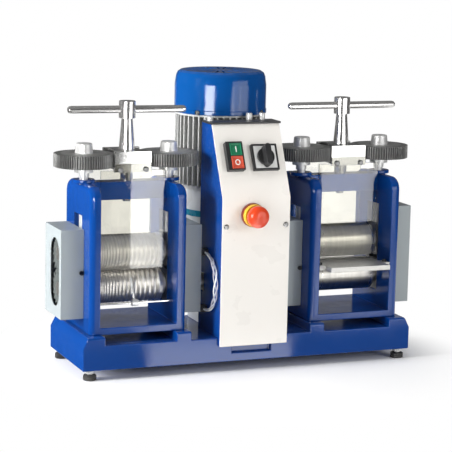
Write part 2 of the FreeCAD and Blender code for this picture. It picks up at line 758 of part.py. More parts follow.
    # sheet covers over the shaft ends, open towards the cheeks
    for reach, hand in ((-1, "inner"), (1, "outer")):
        low, high = (cheekOut, coverOut) if reach > 0 else ("-" + coverOut, "-" + cheekOut)
        z = ("coverLow", "coverLow + coverTall")
        if side > 0 and reach > 0:
            z = ("coverLow - tallCoverDrop", "coverLow - tallCoverDrop + tallCoverTall")
        shell = box("%s_%s_cover_shell" % (word, hand), span(side, low, high),
                    ("-coverFront", "coverRear"), z)
        low, high = (cheekOut + " - 1", coverOut + " - coverSheet") if reach > 0 else (
            "-(%s - coverSheet)" % coverOut, "-(%s - 1)" % cheekOut)
        void = box("%s_%s_cover_void" % (word, hand), span(side, low, high),
                   ("-coverFront + coverSheet", "coverRear - coverSheet"),
                   (z[0] + " + coverSheet", z[1] + " - coverSheet"))
        tools = [void]
        x = at(side, "%d * (%s + lugDeep / 2)" % (reach, cheekOut))
        for row, face, way in (("front", "-coverFront", "front"), ("rear", "coverRear", "y")):
            tools.append(socket_hole("%s_%s_cover_%s_hole" % (word, hand, row), x, face,
                                     "rollRise + %s" % cover_screw, way))
        far = at(side, "%d * (%s - coverSheet - 1)" % (reach, coverOut))
        way = "x" if side * reach > 0 else "-x"
        if side < 0 and reach > 0:
            # an oval window shows the gears
            for end, z_end in (("low", "coverLow + ovalRise + ovalHalf"),
                               ("high", "coverLow + ovalRise + ovalTall - ovalHalf")):
                tools.append(rod("%s_oval_%s" % (word, end), "ovalHalf", "coverSheet + 2", far, "0", z_end, way))
            tools.append(box(word + "_oval_mid", span(side, coverOut + " - coverSheet - 1", coverOut + " + 1"),
                             ("-ovalHalf", "ovalHalf"),
                             ("coverLow + ovalRise + ovalHalf", "coverLow + ovalRise + ovalTall - ovalHalf")))
        if reach < 0:
            tools.append(rod(word + "_cover_shaft_hole", "driveRadius + 3", "coverSheet + 2",
                             far, "0", "rollRise", way))
        name = "%s_%s_cover" % (word, hand)
        keep(cut(name, shell, tools), name)


stand(-1, "left", "nipFine", "coverScrewFine")
stand(1, "right", "nipPlain", "coverScrewPlain")
keep(group("lower_chocks", lower_chocks), "lower_chocks")


# Control console: two sheet walls, a bent front panel and a lid.
panel_back = "(-panelFront + panelSheet)"
top_back = "(-panelTopFront + panelSheet)"
walls = []
wall_edge = [(panel_back, "panelLow"), ("-plinthFront", "panelLow"), ("-plinthFront", deck),
             ("consoleBack", deck), ("consoleBack", "panelTop"), (top_back, "panelTop"),
             (panel_back, "panelBend")]
for side, word in ((-1, "left"), (1, "right")):
    x = "-consoleHalf" if side < 0 else "consoleHalf - wallSheet"
    sheet_wall = slab("console_wall_" + word, "YZ_Plane", wall_edge, "wallSheet", x)
    flange = box("console_flange_" + word,
                 ("-consoleHalf", "-consoleHalf + flangeWide") if side < 0 else
                 ("consoleHalf - flangeWide", "consoleHalf"),
                 (panel_back, panel_back + " + wallSheet"), ("panelLow", "panelBend - wallSheet"))
    notch = box("console_notch_" + word, ("%d * consoleHalf - wallSheet - 1" % side,
                                          "%d * consoleHalf + wallSheet + 1" % side),
                ("-shaftNotch", "consoleBack + 1"), ("rollRise - shaftNotch", "rollRise + shaftNotch"))
    drill = pan_hole("console_drill_" + word, "%d * panelScrewReach" % side, "-panelFront",
                     "panelScrewRise", "front")
    walls.append(cut("console_side_" + word, fuse("console_side_blank_" + word, [sheet_wall, flange]),
                     [notch, drill]))
keep(group("console_walls", walls), "console_walls")
panel_edge = [("-panelFront", "panelLow"), (panel_back, "panelLow"), (panel_back, "panelBend"),
              (top_back, "panelTop"), ("-panelTopFront", "panelTop"), ("-panelFront", "panelBend")]
panel = slab("console_panel_sheet", "YZ_Plane", panel_edge, "2 * consoleHalf", "-consoleHalf")
holes = [rod("console_stop_hole", "stopStem + runFit", "panelSheet + 2", "-stopOffset",
             "-panelFront - 1", "stopRise", "y")]
for side, word in ((-1, "left"), (1, "right")):
    x = "%d * panelScrewReach" % side
    pan_screws.append(pan_screw("console_screw_" + word, x, "-panelFront", "panelScrewRise", "front"))
    holes.append(pan_hole("console_screw_hole_" + word, x, "-panelFront", "panelScrewRise", "front"))
keep(cut("console_panel", panel, holes), "console_panel")
keep(box("console_lid", ("-consoleHalf - lidOver", "consoleHalf + lidOver"),
         ("-panelTopFront - lidOver", "-lidBack"), ("panelTop", "panelTop + lidThick")), "console_lid")

# Start and stop keys in their box on the leaning part of the panel.
key_low = "(switchLow + keyInset)"
key_left = "(-switchLeft + keyOffset)"
housing = box("switch_blank", ("-switchLeft", "-switchLeft + switchWide"), ("-switchProud", "0"),
              ("switchLow", "switchLow + switchTall"))
pockets = []
keys = []
for index, label in enumerate(("stop_key", "start_key")):
    low = "(%s + %d * keyPitch)" % (key_low, index)
    pockets.append(box(label + "_pocket", (key_left, key_left + " + keyWide"),
                       ("-switchProud - 1", "-panelSheet"), (low, low + " + keyTall")))
    keys.append((label, box(label + "_cap", (key_left + " + keyGap", key_left + " + keyWide - keyGap"),
                            ("-switchProud - keyProud", "-panelSheet - keyTravel - keyGap"),
                            (low + " + keyGap", low + " + keyTall - keyGap"))))
keep(lean_back(cut("switch_box", housing, pockets)), "switch_box")
for label, cap in keys:
    keep(lean_back(group(label, [cap])), label)

# Selector switch: frame, dial plate and lever.
selector_high = "(selectorLow + selectorSide)"
selector_z = "(selectorLow + selectorSide / 2)"
frame = box("selector_blank", ("selectorMid - selectorSide / 2", "selectorMid + selectorSide / 2"),
            ("-selectorProud", "0"), ("selectorLow", selector_high))
recess = box("selector_recess", ("selectorMid - dialSide / 2", "selectorMid + dialSide / 2"),
             ("-selectorProud - 1", "-selectorProud + 2 * dialThick"),
             (selector_z + " - dialSide / 2", selector_z + " + dialSide / 2"))
bore = rod("selector_bore", "stemRadius + runFit", "selectorProud", "selectorMid",
           "-selectorProud - 1", selector_z, "y")
keep(lean_back(cut("selector_box", frame, [recess, bore])), "selector_box")
dial = box("selector_dial_sheet", ("selectorMid - dialSide / 2", "selectorMid + dialSide / 2"),
           ("-selectorProud + dialThick", "-selectorProud + 2 * dialThick"),
           (selector_z + " - dialSide / 2", selector_z + " + dialSide / 2"))
bore = rod("selector_dial_bore", "stemRadius + runFit", "selectorProud", "selectorMid",
           "-selectorProud - 1", selector_z, "y")
keep(lean_back(cut("selector_dial", dial, [bore])), "selector_dial")
knob_face = "(-selectorProud + dialThick - keyGap)"
disc = rod("selector_disc", "knobRadius", "knobTall", "selectorMid", knob_face, selector_z, "front")
stem = rod("selector_stem", "stemRadius", "selectorProud - 2 * dialThick - keyGap", "selectorMid",
           knob_face, selector_z, "y")
lever = box("selector_lever", ("selectorMid - leverWide / 2", "selectorMid + leverWide / 2"),
            ("%s - knobTall - leverTall" % knob_face, knob_face),
            (selector_z + " - leverLong / 2 + leverWide / 2", selector_z + " + leverLong / 2 - leverWide / 2"))
tips = [rod("selector_tip_" + word, "leverWide / 2", "knobTall + leverTall", "selectorMid", knob_face,
            "%s %s (leverLong / 2 - leverWide / 2)" % (selector_z, sign), "front")
        for word, sign in (("low", "-"), ("high", "+"))]
keep(lean_back(fuse("selector_knob", [disc, stem, lever] + tips)), "selector_knob")

# Emergency stop: a collar on the panel and a mushroom head on its stem.
collar = turned("stop_collar",
                [("stopStem + runFit", "0"), ("stopCollar", "0"), ("stopCollar", "stopBase"),
                 ("stopCollar - 1.5", "stopBase"), ("stopCollar - 1.5", "stopBase + stopRing - 1.5"),
                 ("stopCollar - 3", "stopBase + stopRing"), ("stopStem + runFit", "stopBase + stopRing")],
                "-stopOffset", "-panelFront", "stopRise", "front")
keep(collar, "stop_collar")
head_low = "(stopBase + stopRing + stopTravel)"
head = turned("stop_button",
              [("0", "-panelSheet"), ("stopStem", "-panelSheet"), ("stopStem", head_low),
               ("stopHead * 0.82", head_low), ("stopHead", head_low + " + stopHeadDeep * 0.22"),
               ("stopHead", head_low + " + stopHeadDeep * 0.62"),
               ("stopHead * 0.9", head_low + " + stopHeadDeep * 0.84"),
               ("stopHead * 0.66", head_low + " + stopHeadDeep * 0.95"),
               ("stopHead * 0.3", head_low + " + stopHeadDeep"), ("0", head_low + " + stopHeadDeep")],
              "-stopOffset", "-panelFront", "stopRise", "front")
keep(head, "stop_button")

# Gearbox between the stands, with an outlet on each side and a column up to the motor.
case = box("gearbox_blank", ("-boxHalf", "boxHalf"), ("-boxFront", "boxRear"), (deck, "boxTop - boxShelf"))
shelf = box("gearbox_shelf", ("-boxHalf", "boxHalf"), ("-boxFront", "motorBack + columnRadius"),
            ("boxTop - boxShelf", "boxTop"))
outlet = rod("gearbox_outlets", "outletRadius", "2 * outletReach", "-outletReach", "0", "rollRise", "x")
bores = []
for side, word in ((-1, "left"), (1, "right")):
    start = "-outletReach - 1" if side < 0 else "boxHalf - driveSeat - endPlay"
    bores.append(rod("gearbox_bore_" + word, "driveRadius + runFit",
                     "outletReach - boxHalf + driveSeat + endPlay + 1", start, "0", "rollRise", "x"))


def upright(edge):
    return runs_along(edge, 2)


rounded = [round_off(item.Name + "_round", item, [(upright, number("boxRound"))]) for item in (case, shelf)]
keep(cut("gearbox", fuse("gearbox_casting", rounded + [outlet]), bores), "gearbox")
keep(rod("column", "columnRadius", "motorLow - boxTop", "0", "motorBack", "boxTop"), "column")
band_low = "bandRise"
keep(turned("column_band", [("columnRadius", band_low), ("columnRadius + bandThick", band_low),
                            ("columnRadius + bandThick", "bandRise + bandTall"),
                            ("columnRadius", "bandRise + bandTall")],
            "0", "motorBack", "boxTop"), "column_band")


def ribs(body, name, inner, outer, thick, low, tall, count):
    # one rib padded on the body and repeated round its axis
    sketch = outline(body, "XY_Plane", [(inner, "-(%s) / 2" % thick), (outer, "-(%s) / 2" % thick),
                                        (outer, "(%s) / 2" % thick), (inner, "(%s) / 2" % thick)])
    sketch.setExpression("AttachmentOffset.Base.z", link(low))
    pad = body.newObject("PartDesign::Pad", name)
    pad.Profile = sketch
    pad.setExpression("Length", link(tall))
    doc.recompute()
    pattern = body.newObject("PartDesign::PolarPattern", name + "_pattern")
    pattern.Originals = [pad]
    pattern.Axis = (sketch, ["N_Axis"])
    pattern.Angle = 360
    pattern.setExpression("Occurrences", link(count))
    body.Tip = pattern
    return body


bell = "(cowlRadius - cowlSheet)"
motor = turned("motor_body",
               [("0", "0"), ("flangeReach", "0"), ("flangeReach", "flangeTall"),
                ("coreRadius", "flangeTall"), ("coreRadius", "finTop - motorLow"),
                (bell, "finTop - motorLow"), (bell, bellTop + " - motorLow"),
                ("fanShaft + runFit", bellTop + " - motorLow"),
                ("fanShaft + runFit", "finTop + 2 - motorLow"), ("0", "finTop + 2 - motorLow")],
               "0", "motorBack", "motorLow")
ribs(motor, "motor_fin", "coreRadius - 1", "finReach", "finThick", "flangeTall",
     "finTop - motorLow - flangeTall", "finCount")
cowl_shell = turned("cowl_shell",
                    [(bell, "0"), ("cowlRadius + rimOver", "0"), ("cowlRadius + rimOver", "rimTall"),
                     ("cowlRadius", "rimTall"), ("cowlRadius", "cowlTall - cowlShoulder"),
                     ("cowlRadius - cowlCrown * 0.35", "cowlTall - cowlShoulder * 0.4"),
                     ("cowlRadius - cowlCrown * 0.75", "cowlTall - cowlShoulder * 0.15"),
                     ("cowlRadius - cowlCrown * 1.6", "cowlTall"), ("0", "cowlTall"),
                     ("0", "cowlTall - cowlSheet"), (bell + " - cowlCrown * 1.6", "cowlTall - cowlSheet"),
                     (bell + " - cowlCrown * 0.5", "cowlTall - cowlShoulder * 0.4"),
                     (bell, "cowlTall - cowlShoulder")],
                    "0", "motorBack", "cowlLow")
slots = []
for index in range(24):
    slot = doc.addObject("Part::Box", "cowl_slot_%d" % index)
    slot.setExpression("Length", link("ventOut - ventIn"))
    slot.setExpression("Width", link("ventWide"))
    slot.setExpression("Height", link("cowlSheet + 2"))
    turn = math.radians(15 * index)
    slot.Placement = FreeCAD.Placement(point(0, 0, 0), FreeCAD.Rotation(point(0, 0, 1), 15 * index))
    slot.setExpression("Placement.Base.x", link("%.6f * ventIn + %.6f * ventWide / 2"
                                                % (math.cos(turn), math.sin(turn))))
    slot.setExpression("Placement.Base.y", link("motorBack + %.6f * ventIn - %.6f * ventWide / 2"
                                                % (math.sin(turn), math.cos(turn))))
    slot.setExpression("Placement.Base.z", link(cowlTop + " - cowlSheet - 1"))
    slots.append(slot)
motor_drill = []
for index, degrees in enumerate((-50, -140, 130, 40)):
    across = math.cos(math.radians(degrees))
    along = math.sin(math.radians(degrees))
    screw = pan_screw("cowl_screw_%d" % index, "0", "0", "0", "z")
    drills = [rod("cowl_drill_%d_%d" % (index, turn), "panScrewRadius", "screwGrip + 1", "0", "0", "0")
              for turn in (0, 1)]
    outward = FreeCAD.Rotation(point(0, 0, 1), degrees).multiply(turns["x"])
    inward = FreeCAD.Rotation(point(0, 0, 1), degrees + 180).multiply(turns["x"])
    for item, way, out in ((screw, outward, "0"), (drills[0], inward, "1"), (drills[1], inward, "1")):
        item.Placement = FreeCAD.Placement(point(0, 0, 0), way)
        reach = "(cowlRadius + rimOver + %s)" % out
        item.setExpression("Placement.Base.x", link("%.6f * %s" % (across, reach)))
        item.setExpression("Placement.Base.y", link("motorBack + %.6f * %s" % (along, reach)))
        item.setExpression("Placement.Base.z", link("cowlLow + rimTall / 2"))
    pan_screws.append(screw)
    slots.append(drills[0])
    motor_drill.append(drills[1])
keep(cut("motor", motor, motor_drill), "motor")
keep(cut("cowl", cowl_shell, slots), "cowl")
fan_low = "(%s - finTop - 2 - endPlay + fanClear)" % bellTop
fan = turned("motor_fan",
             [("0", "0"), ("fanShaft", "0"), ("fanShaft", fan_low), ("fanRadius", fan_low),
              ("fanRadius", fan_low + " + fanDisc"), ("fanHub", fan_low + " + fanDisc"),
              ("fanHub", fan_low + " + bladeTall + fanDisc"), ("0", fan_low + " + bladeTall + fanDisc")],
             "0", "motorBack", "finTop + 2 + endPlay")
ribs(fan, "fan_blade", "fanShaft", "fanRadius", "bladeThick", fan_low, "bladeTall", "fanBlades")
keep(fan, "motor_fan")

# Stock table before the plain rolls, on two ears between the cheeks.
table_top = nipRise
table_low = "(%s - tableThick)" % nipRise
table_edge = [("-tableFront", table_low), ("-tableBack - tableBevel", table_low),
              ("-tableBack", table_low + " + tableThick / 2"), ("-tableBack", table_top),
              ("-tableFront", table_top)]
table = slab("table_plate", "YZ_Plane", table_edge, "2 * tableHalf", "standReach - tableHalf")
ears = []
drills = []
for reach, word in ((-1, "inner"), (1, "outer")):
    low, high = ("tableHalf", "windowHalf") if reach > 0 else ("-windowHalf", "-tableHalf")
    ears.append(box("table_ear_" + word, span(1, low, high), ("-cheekHalf", "-cheekHalf + tableEar"),
                    (table_low, table_top)))
    x = at(1, "%d * (tableHalf + windowHalf) / 2" % reach)
    y = "-cheekHalf + tableEar / 2"
    socket_screws.append(socket_screw("table_screw_" + word, x, y, table_top, "z"))
    drills.append(socket_hole("table_drill_" + word, x, y, table_top, "z"))
keep(cut("stock_table", fuse("table_blank", [table] + ears), drills), "stock_table")

# Guide rod before the wire rolls, with a sliding wire guide.
keep(rod("guide_rod", "rodRadius", "2 * (windowHalf + rodSeat)",
         at(-1, "windowHalf + rodSeat"), "-rodFront", "rodRise", "x"), "guide_rod")
clamp = rod("guide_clamp", "guideRadius", "guideLong", at(-1, "guideLong / 2"), "-rodFront", "rodRise", "x")
finger = rod("guide_finger", "rodRadius", "fingerLong", at(-1, "0"), "-rodFront", "rodRise")
finger.Placement = FreeCAD.Placement(finger.Placement.Base, FreeCAD.Rotation(point(-1, 0, 0), 10))
finger.setExpression("Placement.Rotation.Angle", link("fingerLean"))
bore = rod("guide_bore", "rodRadius + runFit", "guideLong + 2", at(-1, "guideLong / 2 + 1"), "-rodFront",
           "rodRise", "x")
keep(cut("wire_guide", fuse("guide_blank", [clamp, finger]), [bore]), "wire_guide")

# Conduit on the console's left wall, held by a gland at each end.
route = [(-40, 219), (-62, 219), (-86, 205.5), (-99, 180), (-100, 152), (-88, 126), (-64, 110), (-40, 110)]
cable_x = -number("consoleHalf") - number("cableOff")
stops = [point(cable_x, y, z) for y, z in route]
edges = []
last = stops[0]
for before, here, after in zip(stops, stops[1:], stops[2:]):
    come = here - before
    go = after - here
    turn = come.getAngle(go)
    reach = 0.45 * min(come.Length, go.Length)
    radius = reach / math.tan(turn / 2)
    print("conduit radius", round(radius, 1))
    come.normalize()
    go.normalize()
    start, end = here - come * reach, here + go * reach
    bulge = (go - come).normalize()
    middle = here + bulge * (radius / math.cos(turn / 2) - radius)
    edges.append(Part.LineSegment(last, start).toShape())
    edges.append(Part.Arc(start, middle, end).toShape())
    last = end
edges.append(Part.LineSegment(last, stops[-1]).toShape())
path = Part.Wire(edges)
ring = Part.Wire(Part.makeCircle(number("cableRadius"), stops[0], point(0, 1, 0)))
conduit = doc.addObject("Part::Feature", "conduit")
conduit.Shape = path.makePipeShell([ring], True, False)
expected = math.pi * number("cableRadius") ** 2 * path.Length
print("conduit volume", round(conduit.Shape.Volume, 1), "section times length", round(expected, 1))
keep(conduit, "conduit")
glands = []
for word, (y, z) in (("high", route[0]), ("low", route[-1])):
    block = box("gland_block_" + word, ("-consoleHalf - cableOff - glandHalf + 1", "-consoleHalf"),
                (y, "%s + glandLong" % y), ("%s - glandHalf" % z, "%s + glandHalf" % z))
    nut = turned("gland_nut_" + word, [("cableRadius", "0"), ("glandHalf - 1", "0"),
                                       ("glandHalf - 1", "glandHalf"), ("cableRadius", "glandHalf")],
                 "-consoleHalf - cableOff", y, z, "front")
    glands.append(fuse("gland_" + word, [block, nut]))
keep(group("conduit_glands", glands), "conduit_glands")
keep(group("pan_screws", pan_screws), "pan_screws")
keep(group("socket_screws", socket_screws), "socket_screws")

doc.recompute()
for item in doc.Objects:
    if "Invalid" in item.State or "Error" in item.State:
        raise RuntimeError("%s did not compute" % item.Name)
for piece in nodes:
    if piece.Shape.isNull() or not piece.Shape.isValid() or not piece.Shape.Solids:
        raise RuntimeError("%s has no valid solid" % piece.Label)
for piece in nodes:
    piece.Shape.exportStep("parts/%s.step" % piece.Label)
    print(piece.Label, len(piece.Shape.Solids), round(piece.Shape.Volume))
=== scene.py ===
import bpy
import bmesh
import json
import math
from mathutils import Matrix, Vector


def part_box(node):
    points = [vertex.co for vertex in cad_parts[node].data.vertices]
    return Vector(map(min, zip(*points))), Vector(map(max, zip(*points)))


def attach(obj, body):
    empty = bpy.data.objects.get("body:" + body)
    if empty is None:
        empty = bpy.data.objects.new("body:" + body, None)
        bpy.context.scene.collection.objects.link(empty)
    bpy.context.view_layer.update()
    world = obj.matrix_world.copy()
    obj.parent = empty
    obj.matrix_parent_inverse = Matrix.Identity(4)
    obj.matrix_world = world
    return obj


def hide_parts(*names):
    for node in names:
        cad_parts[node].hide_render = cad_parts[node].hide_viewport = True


# Looks of the double rolling mill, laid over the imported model
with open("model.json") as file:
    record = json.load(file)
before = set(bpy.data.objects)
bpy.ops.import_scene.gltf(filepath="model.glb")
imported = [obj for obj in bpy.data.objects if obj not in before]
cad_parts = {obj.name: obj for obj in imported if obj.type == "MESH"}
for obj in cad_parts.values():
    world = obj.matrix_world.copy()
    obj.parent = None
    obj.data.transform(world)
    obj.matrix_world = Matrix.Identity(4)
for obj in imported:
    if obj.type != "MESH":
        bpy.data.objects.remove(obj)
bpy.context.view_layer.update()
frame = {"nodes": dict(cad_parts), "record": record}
nodes = frame["nodes"]
record = frame["record"]
bodyOf = {node: body for body, members in record["behaviour"]["bodies"].items() for node in members}
slotOf = {part["node"]: part["material_slot"] for part in record["subparts"]}
mm = 0.001


# ---- small helpers ----
def activate(piece):
    bpy.ops.object.select_all(action="DESELECT")
    piece.select_set(True)
    bpy.context.view_layer.objects.active = piece
    return piece


def startEdit(piece):
    activate(piece)
    bpy.ops.object.mode_set(mode="EDIT")


def endEdit():
    bpy.ops.object.mode_set(mode="OBJECT")


def pick(piece, kind, wanted):
    # selects faces, edges or corners by a test on their place, and nothing else
    bpy.ops.mesh.select_mode(type={"faces": "FACE", "edges": "EDGE", "verts": "VERT"}[kind])
    bpy.ops.mesh.select_all(action="DESELECT")
    shape = bmesh.from_edit_mesh(piece.data)
    count = 0
    for item in getattr(shape, kind):
        if wanted(item):
            item.select_set(True)
            count += 1
    if kind == "verts":
        shape.select_flush(True)
    bmesh.update_edit_mesh(piece.data)
    return count


def settle(piece):
    # the place goes into the mesh, so that the object itself sits at the origin
    activate(piece)
    bpy.ops.object.transform_apply(location=True, rotation=True, scale=True)
    return piece


def smooth(piece, angle=35):
    activate(piece)
    bpy.ops.object.shade_smooth_by_angle(angle=math.radians(angle))
    return piece


def addBevel(piece, width, segments=2, angle=35, clamp=True):
    activate(piece)
    edge = piece.modifiers.new("softEdge", "BEVEL")
    edge.width = width
    edge.segments = segments
    edge.limit_method = "ANGLE"
    edge.angle_limit = math.radians(angle)
    edge.use_clamp_overlap = clamp
    bpy.ops.object.modifier_apply(modifier="softEdge")
    return piece


def keepFlats(piece):
    # large flats stay flat in the shading and only the narrow edges turn
    activate(piece)
    flats = piece.modifiers.new("keepFlats", "WEIGHTED_NORMAL")
    flats.keep_sharp = True
    flats.weight = 100
    bpy.ops.object.modifier_apply(modifier="keepFlats")
    return piece


def dress(piece, body, slot, *stands, finish=None):
    # gives a finished piece its material, the body it moves with and the nodes it stands for
    piece.data.materials.clear()
    piece.data.materials.append(finishes[finish or slot])
    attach(piece, body)
    if stands:
        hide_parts(*stands)
    return piece


# ---- camera, floor and lights ----
view = {"place": (-1.3153, -3.2387, 0.8420), "target": (-0.01629, 0.0, 0.26385), "roll": 1.24,
        "lens": 146.92, "shift": (-0.0013, -0.0038)}


def addCamera():
    ahead = (Vector(view["target"]) - Vector(view["place"])).normalized()
    right = ahead.cross(Vector((0, 0, 1))).normalized()
    above = right.cross(ahead)
    turn = math.radians(view["roll"])
    across = right * math.cos(turn) + above * math.sin(turn)
    upward = above * math.cos(turn) - right * math.sin(turn)
    eye = bpy.data.objects.new("benchCamera", bpy.data.cameras.new("benchCamera"))
    bpy.context.scene.collection.objects.link(eye)
    eye.matrix_world = Matrix.Translation(view["place"]) @ Matrix((across, upward, -ahead)).transposed().to_4x4()
    eye.data.lens = view["lens"]
    eye.data.shift_x, eye.data.shift_y = view["shift"]
    eye.data.clip_end = 100
    bpy.context.scene.camera = eye


def addNode(tree, kind, settings=None, inputs=None):
    node = tree.nodes.new(kind)
    for name, value in (settings or {}).items():
        setattr(node, name, value)
    for name, value in (inputs or {}).items():
        if isinstance(value, bpy.types.NodeSocket):
            tree.links.new(value, node.inputs[name])
        else:
            node.inputs[name].default_value = value
    return node


def addMath(tree, operation, first, second=0.0, clamp=False):
    return addNode(tree, "ShaderNodeMath", {"operation": operation, "use_clamp": clamp},
                   {0: first, 1: second}).outputs[0]


def addRange(tree, value, low, high, newLow=0.0, newHigh=1.0, soft=False):
    return addNode(tree, "ShaderNodeMapRange", {"interpolation_type": "SMOOTHSTEP" if soft else "LINEAR"},
                   {"Value": value, "From Min": low, "From Max": high, "To Min": newLow,
                    "To Max": newHigh}).outputs["Result"]


def addMix(tree, share, first, second):
    node = addNode(tree, "ShaderNodeMix", {"data_type": "RGBA"}, {0: share})
    for socket, value in ((node.inputs[6], first), (node.inputs[7], second)):
        if isinstance(value, bpy.types.NodeSocket):
            tree.links.new(value, socket)
        else:
            socket.default_value = (*value, 1.0)[:4]
    return node.outputs[2]


def seenRays(tree):
    # 1 where the camera, a mirror or a clear sheet looks
    path = addNode(tree, "ShaderNodeLightPath")
    rays = addMath(tree, "MAXIMUM", path.outputs["Is Camera Ray"], path.outputs["Is Glossy Ray"])
    return addMath(tree, "MAXIMUM", rays, path.outputs["Is Transmission Ray"])


studio = {"sky": 0.40, "floor": 0.92, "nearFloor": 0.33, "farFloor": 0.50,
          "lamps": {"key": ((-2.9, -0.22, 1.0), 1.2, 132), "fill": ((1.5, -2.4, 0.9), 1.2, 25),
                    "top": ((0.1, 0.1, 2.3), 1.5, 12), "back": ((-2.3, 1.5, 1.1), 1.2, 46)}}


def addStudio():
    world = bpy.data.worlds.new("studio")
    bpy.context.scene.world = world
    world.use_nodes = True
    tree = world.node_tree
    sky = next(node for node in tree.nodes if node.type == "BACKGROUND")
    sky.inputs["Color"].default_value = (1, 1, 1, 1)
    tree.links.new(addRange(tree, seenRays(tree), 0, 1, studio["sky"], 1.0), sky.inputs["Strength"])
    for name, (place, size, power) in studio["lamps"].items():
        lamp = bpy.data.objects.new(name + "Lamp", bpy.data.lights.new(name + "Lamp", "AREA"))
        bpy.context.scene.collection.objects.link(lamp)
        lamp.data.shape = "RECTANGLE"
        lamp.data.size, lamp.data.size_y = size * 0.6, size
        lamp.data.energy = power
        lamp.visible_glossy = False
        lamp.location = place
        lamp.rotation_euler = (Vector((0, 0, 0.25)) - Vector(place)).to_track_quat("-Z", "Y").to_euler()
    bpy.ops.mesh.primitive_plane_add(size=80, location=(0, 0, -0.0002))
    floor = settle(bpy.context.object)
    floor.name = "benchTop"
    pale = bpy.data.materials.new("paleBench")
    pale.use_nodes = True
    tree = pale.node_tree
    tree.nodes.clear()
    out = addNode(tree, "ShaderNodeOutputMaterial")
    place = addNode(tree, "ShaderNodeTexCoord").outputs["Object"]
    away = addNode(tree, "ShaderNodeVectorMath", {"operation": "LENGTH"}, {0: place}).outputs["Value"]
    far = addRange(tree, away, studio["nearFloor"], studio["farFloor"], soft=True)
    tone = studio["floor"]
    matt = addNode(tree, "ShaderNodeBsdfDiffuse", {}, {"Color": (tone, tone, tone, 1)})
    white = addNode(tree, "ShaderNodeEmission", {}, {"Color": (1, 1, 1, 1), "Strength": 1.0})
    mix = addNode(tree, "ShaderNodeMixShader", {}, {0: addMath(tree, "MULTIPLY", far, seenRays(tree)),
                                                  1: matt.outputs[0], 2: white.outputs[0]})
    tree.links.new(mix.outputs[0], out.inputs["Surface"])
    floor.data.materials.append(pale)


throughSheet = 0.25


def addCard(name, corners, strength, through=1.0):
    # a studio card that only polish and gloss show: bright ones are softboxes, dark ones are flags
    bpy.ops.mesh.primitive_plane_add(size=1)
    card = bpy.context.object
    card.name = name
    for corner, place in zip(card.data.vertices, corners):
        corner.co = place
    paper = bpy.data.materials.new(name)
    paper.use_nodes = True
    tree = paper.node_tree
    tree.nodes.clear()
    path = addNode(tree, "ShaderNodeLightPath").outputs
    # what stands behind a clear sheet is lit by the card through that sheet, and so less
    glow = addRange(tree, path["Transmission Depth"], 2, 4, strength, strength * through)
    light = addNode(tree, "ShaderNodeEmission", {}, {"Color": (1, 1, 1, 1), "Strength": glow})
    nothing = addNode(tree, "ShaderNodeBsdfTransparent")
    mirrored = addMath(tree, "MINIMUM", path["Glossy Depth"], 1.0)
    mix = addNode(tree, "ShaderNodeMixShader", {}, {0: mirrored, 1: nothing.outputs[0], 2: light.outputs[0]})
    out = addNode(tree, "ShaderNodeOutputMaterial")
    tree.links.new(mix.outputs[0], out.inputs["Surface"])
    card.data.materials.append(paper)
    for ray in ("camera", "diffuse", "volume_scatter", "shadow"):
        setattr(card, "visible_" + ray, False)


def standCard(name, left, right, low, high, strength):
    addCard(name, ((*left, low), (*right, low), (*left, high), (*right, high)), strength)


# strips on the floor whose mirror image in a flat front is upright: ends on that front, its depth,
# and how far out the strip starts and ends
strips = {"plinthGlow": (-0.208, 0.081, -0.100, -0.115, -0.37, 4.6),
          "leftShieldGlow": (-0.224, -0.157, -0.040, -0.42, -1.0, 5.0),
          "rightShieldGlow": (0.163, 0.285, -0.040, -0.42, -1.0, 3.1),
          "leftCheekGlow": (-0.1435, -0.1265, -0.0815, -0.42, -1.0, 9.0),
          "innerCheekGlow": (0.129, 0.146, -0.0815, -0.42, -1.0, 9.0),
          "plinthLeftShade": (-0.345, -0.208, -0.100, -0.115, -0.40, 0.25),
          "plinthRightShade": (0.081, 0.350, -0.100, -0.115, -0.40, 0.25)}
uprights = {"rightShieldGlow": 0.092}
flags = {"frontFlag": ((1.9, -1.45), (-1.9, -1.45), 0.0, 1.7, 0.03),
         "leftFlag": ((-1.5, -1.5), (-1.5, 1.7), 0.0, 1.7, 0.05),
         "rightFlag": ((1.5, 1.7), (1.5, -1.5), 0.0, 1.7, 0.05),
         "backLeftFlag": ((-1.6, 1.6), (0.1, 1.6), 0.0, 1.7, 0.05),
         "backRightFlag": ((0.1, 1.6), (1.6, 1.6), 0.25, 1.7, 0.10)}
floorFlags = {"leftFloorFlag": (-1.6, -0.335, -1.5, 0.125, 0.04),
              "backFloorFlag": (-1.6, 0.02, 0.125, 1.7, 0.05)}
softboxes = {"leftBox": ((-0.95, -0.50), (-0.66, -0.84), 0.26, 0.62, 19.0),
             "rightBox": ((0.225, -1.35), (1.35, -1.05), 0.20, 0.85, 2.8),
             "lowBox": ((-0.35, 1.55), (1.40, 1.55), 0.24, 0.46, 0.42)}


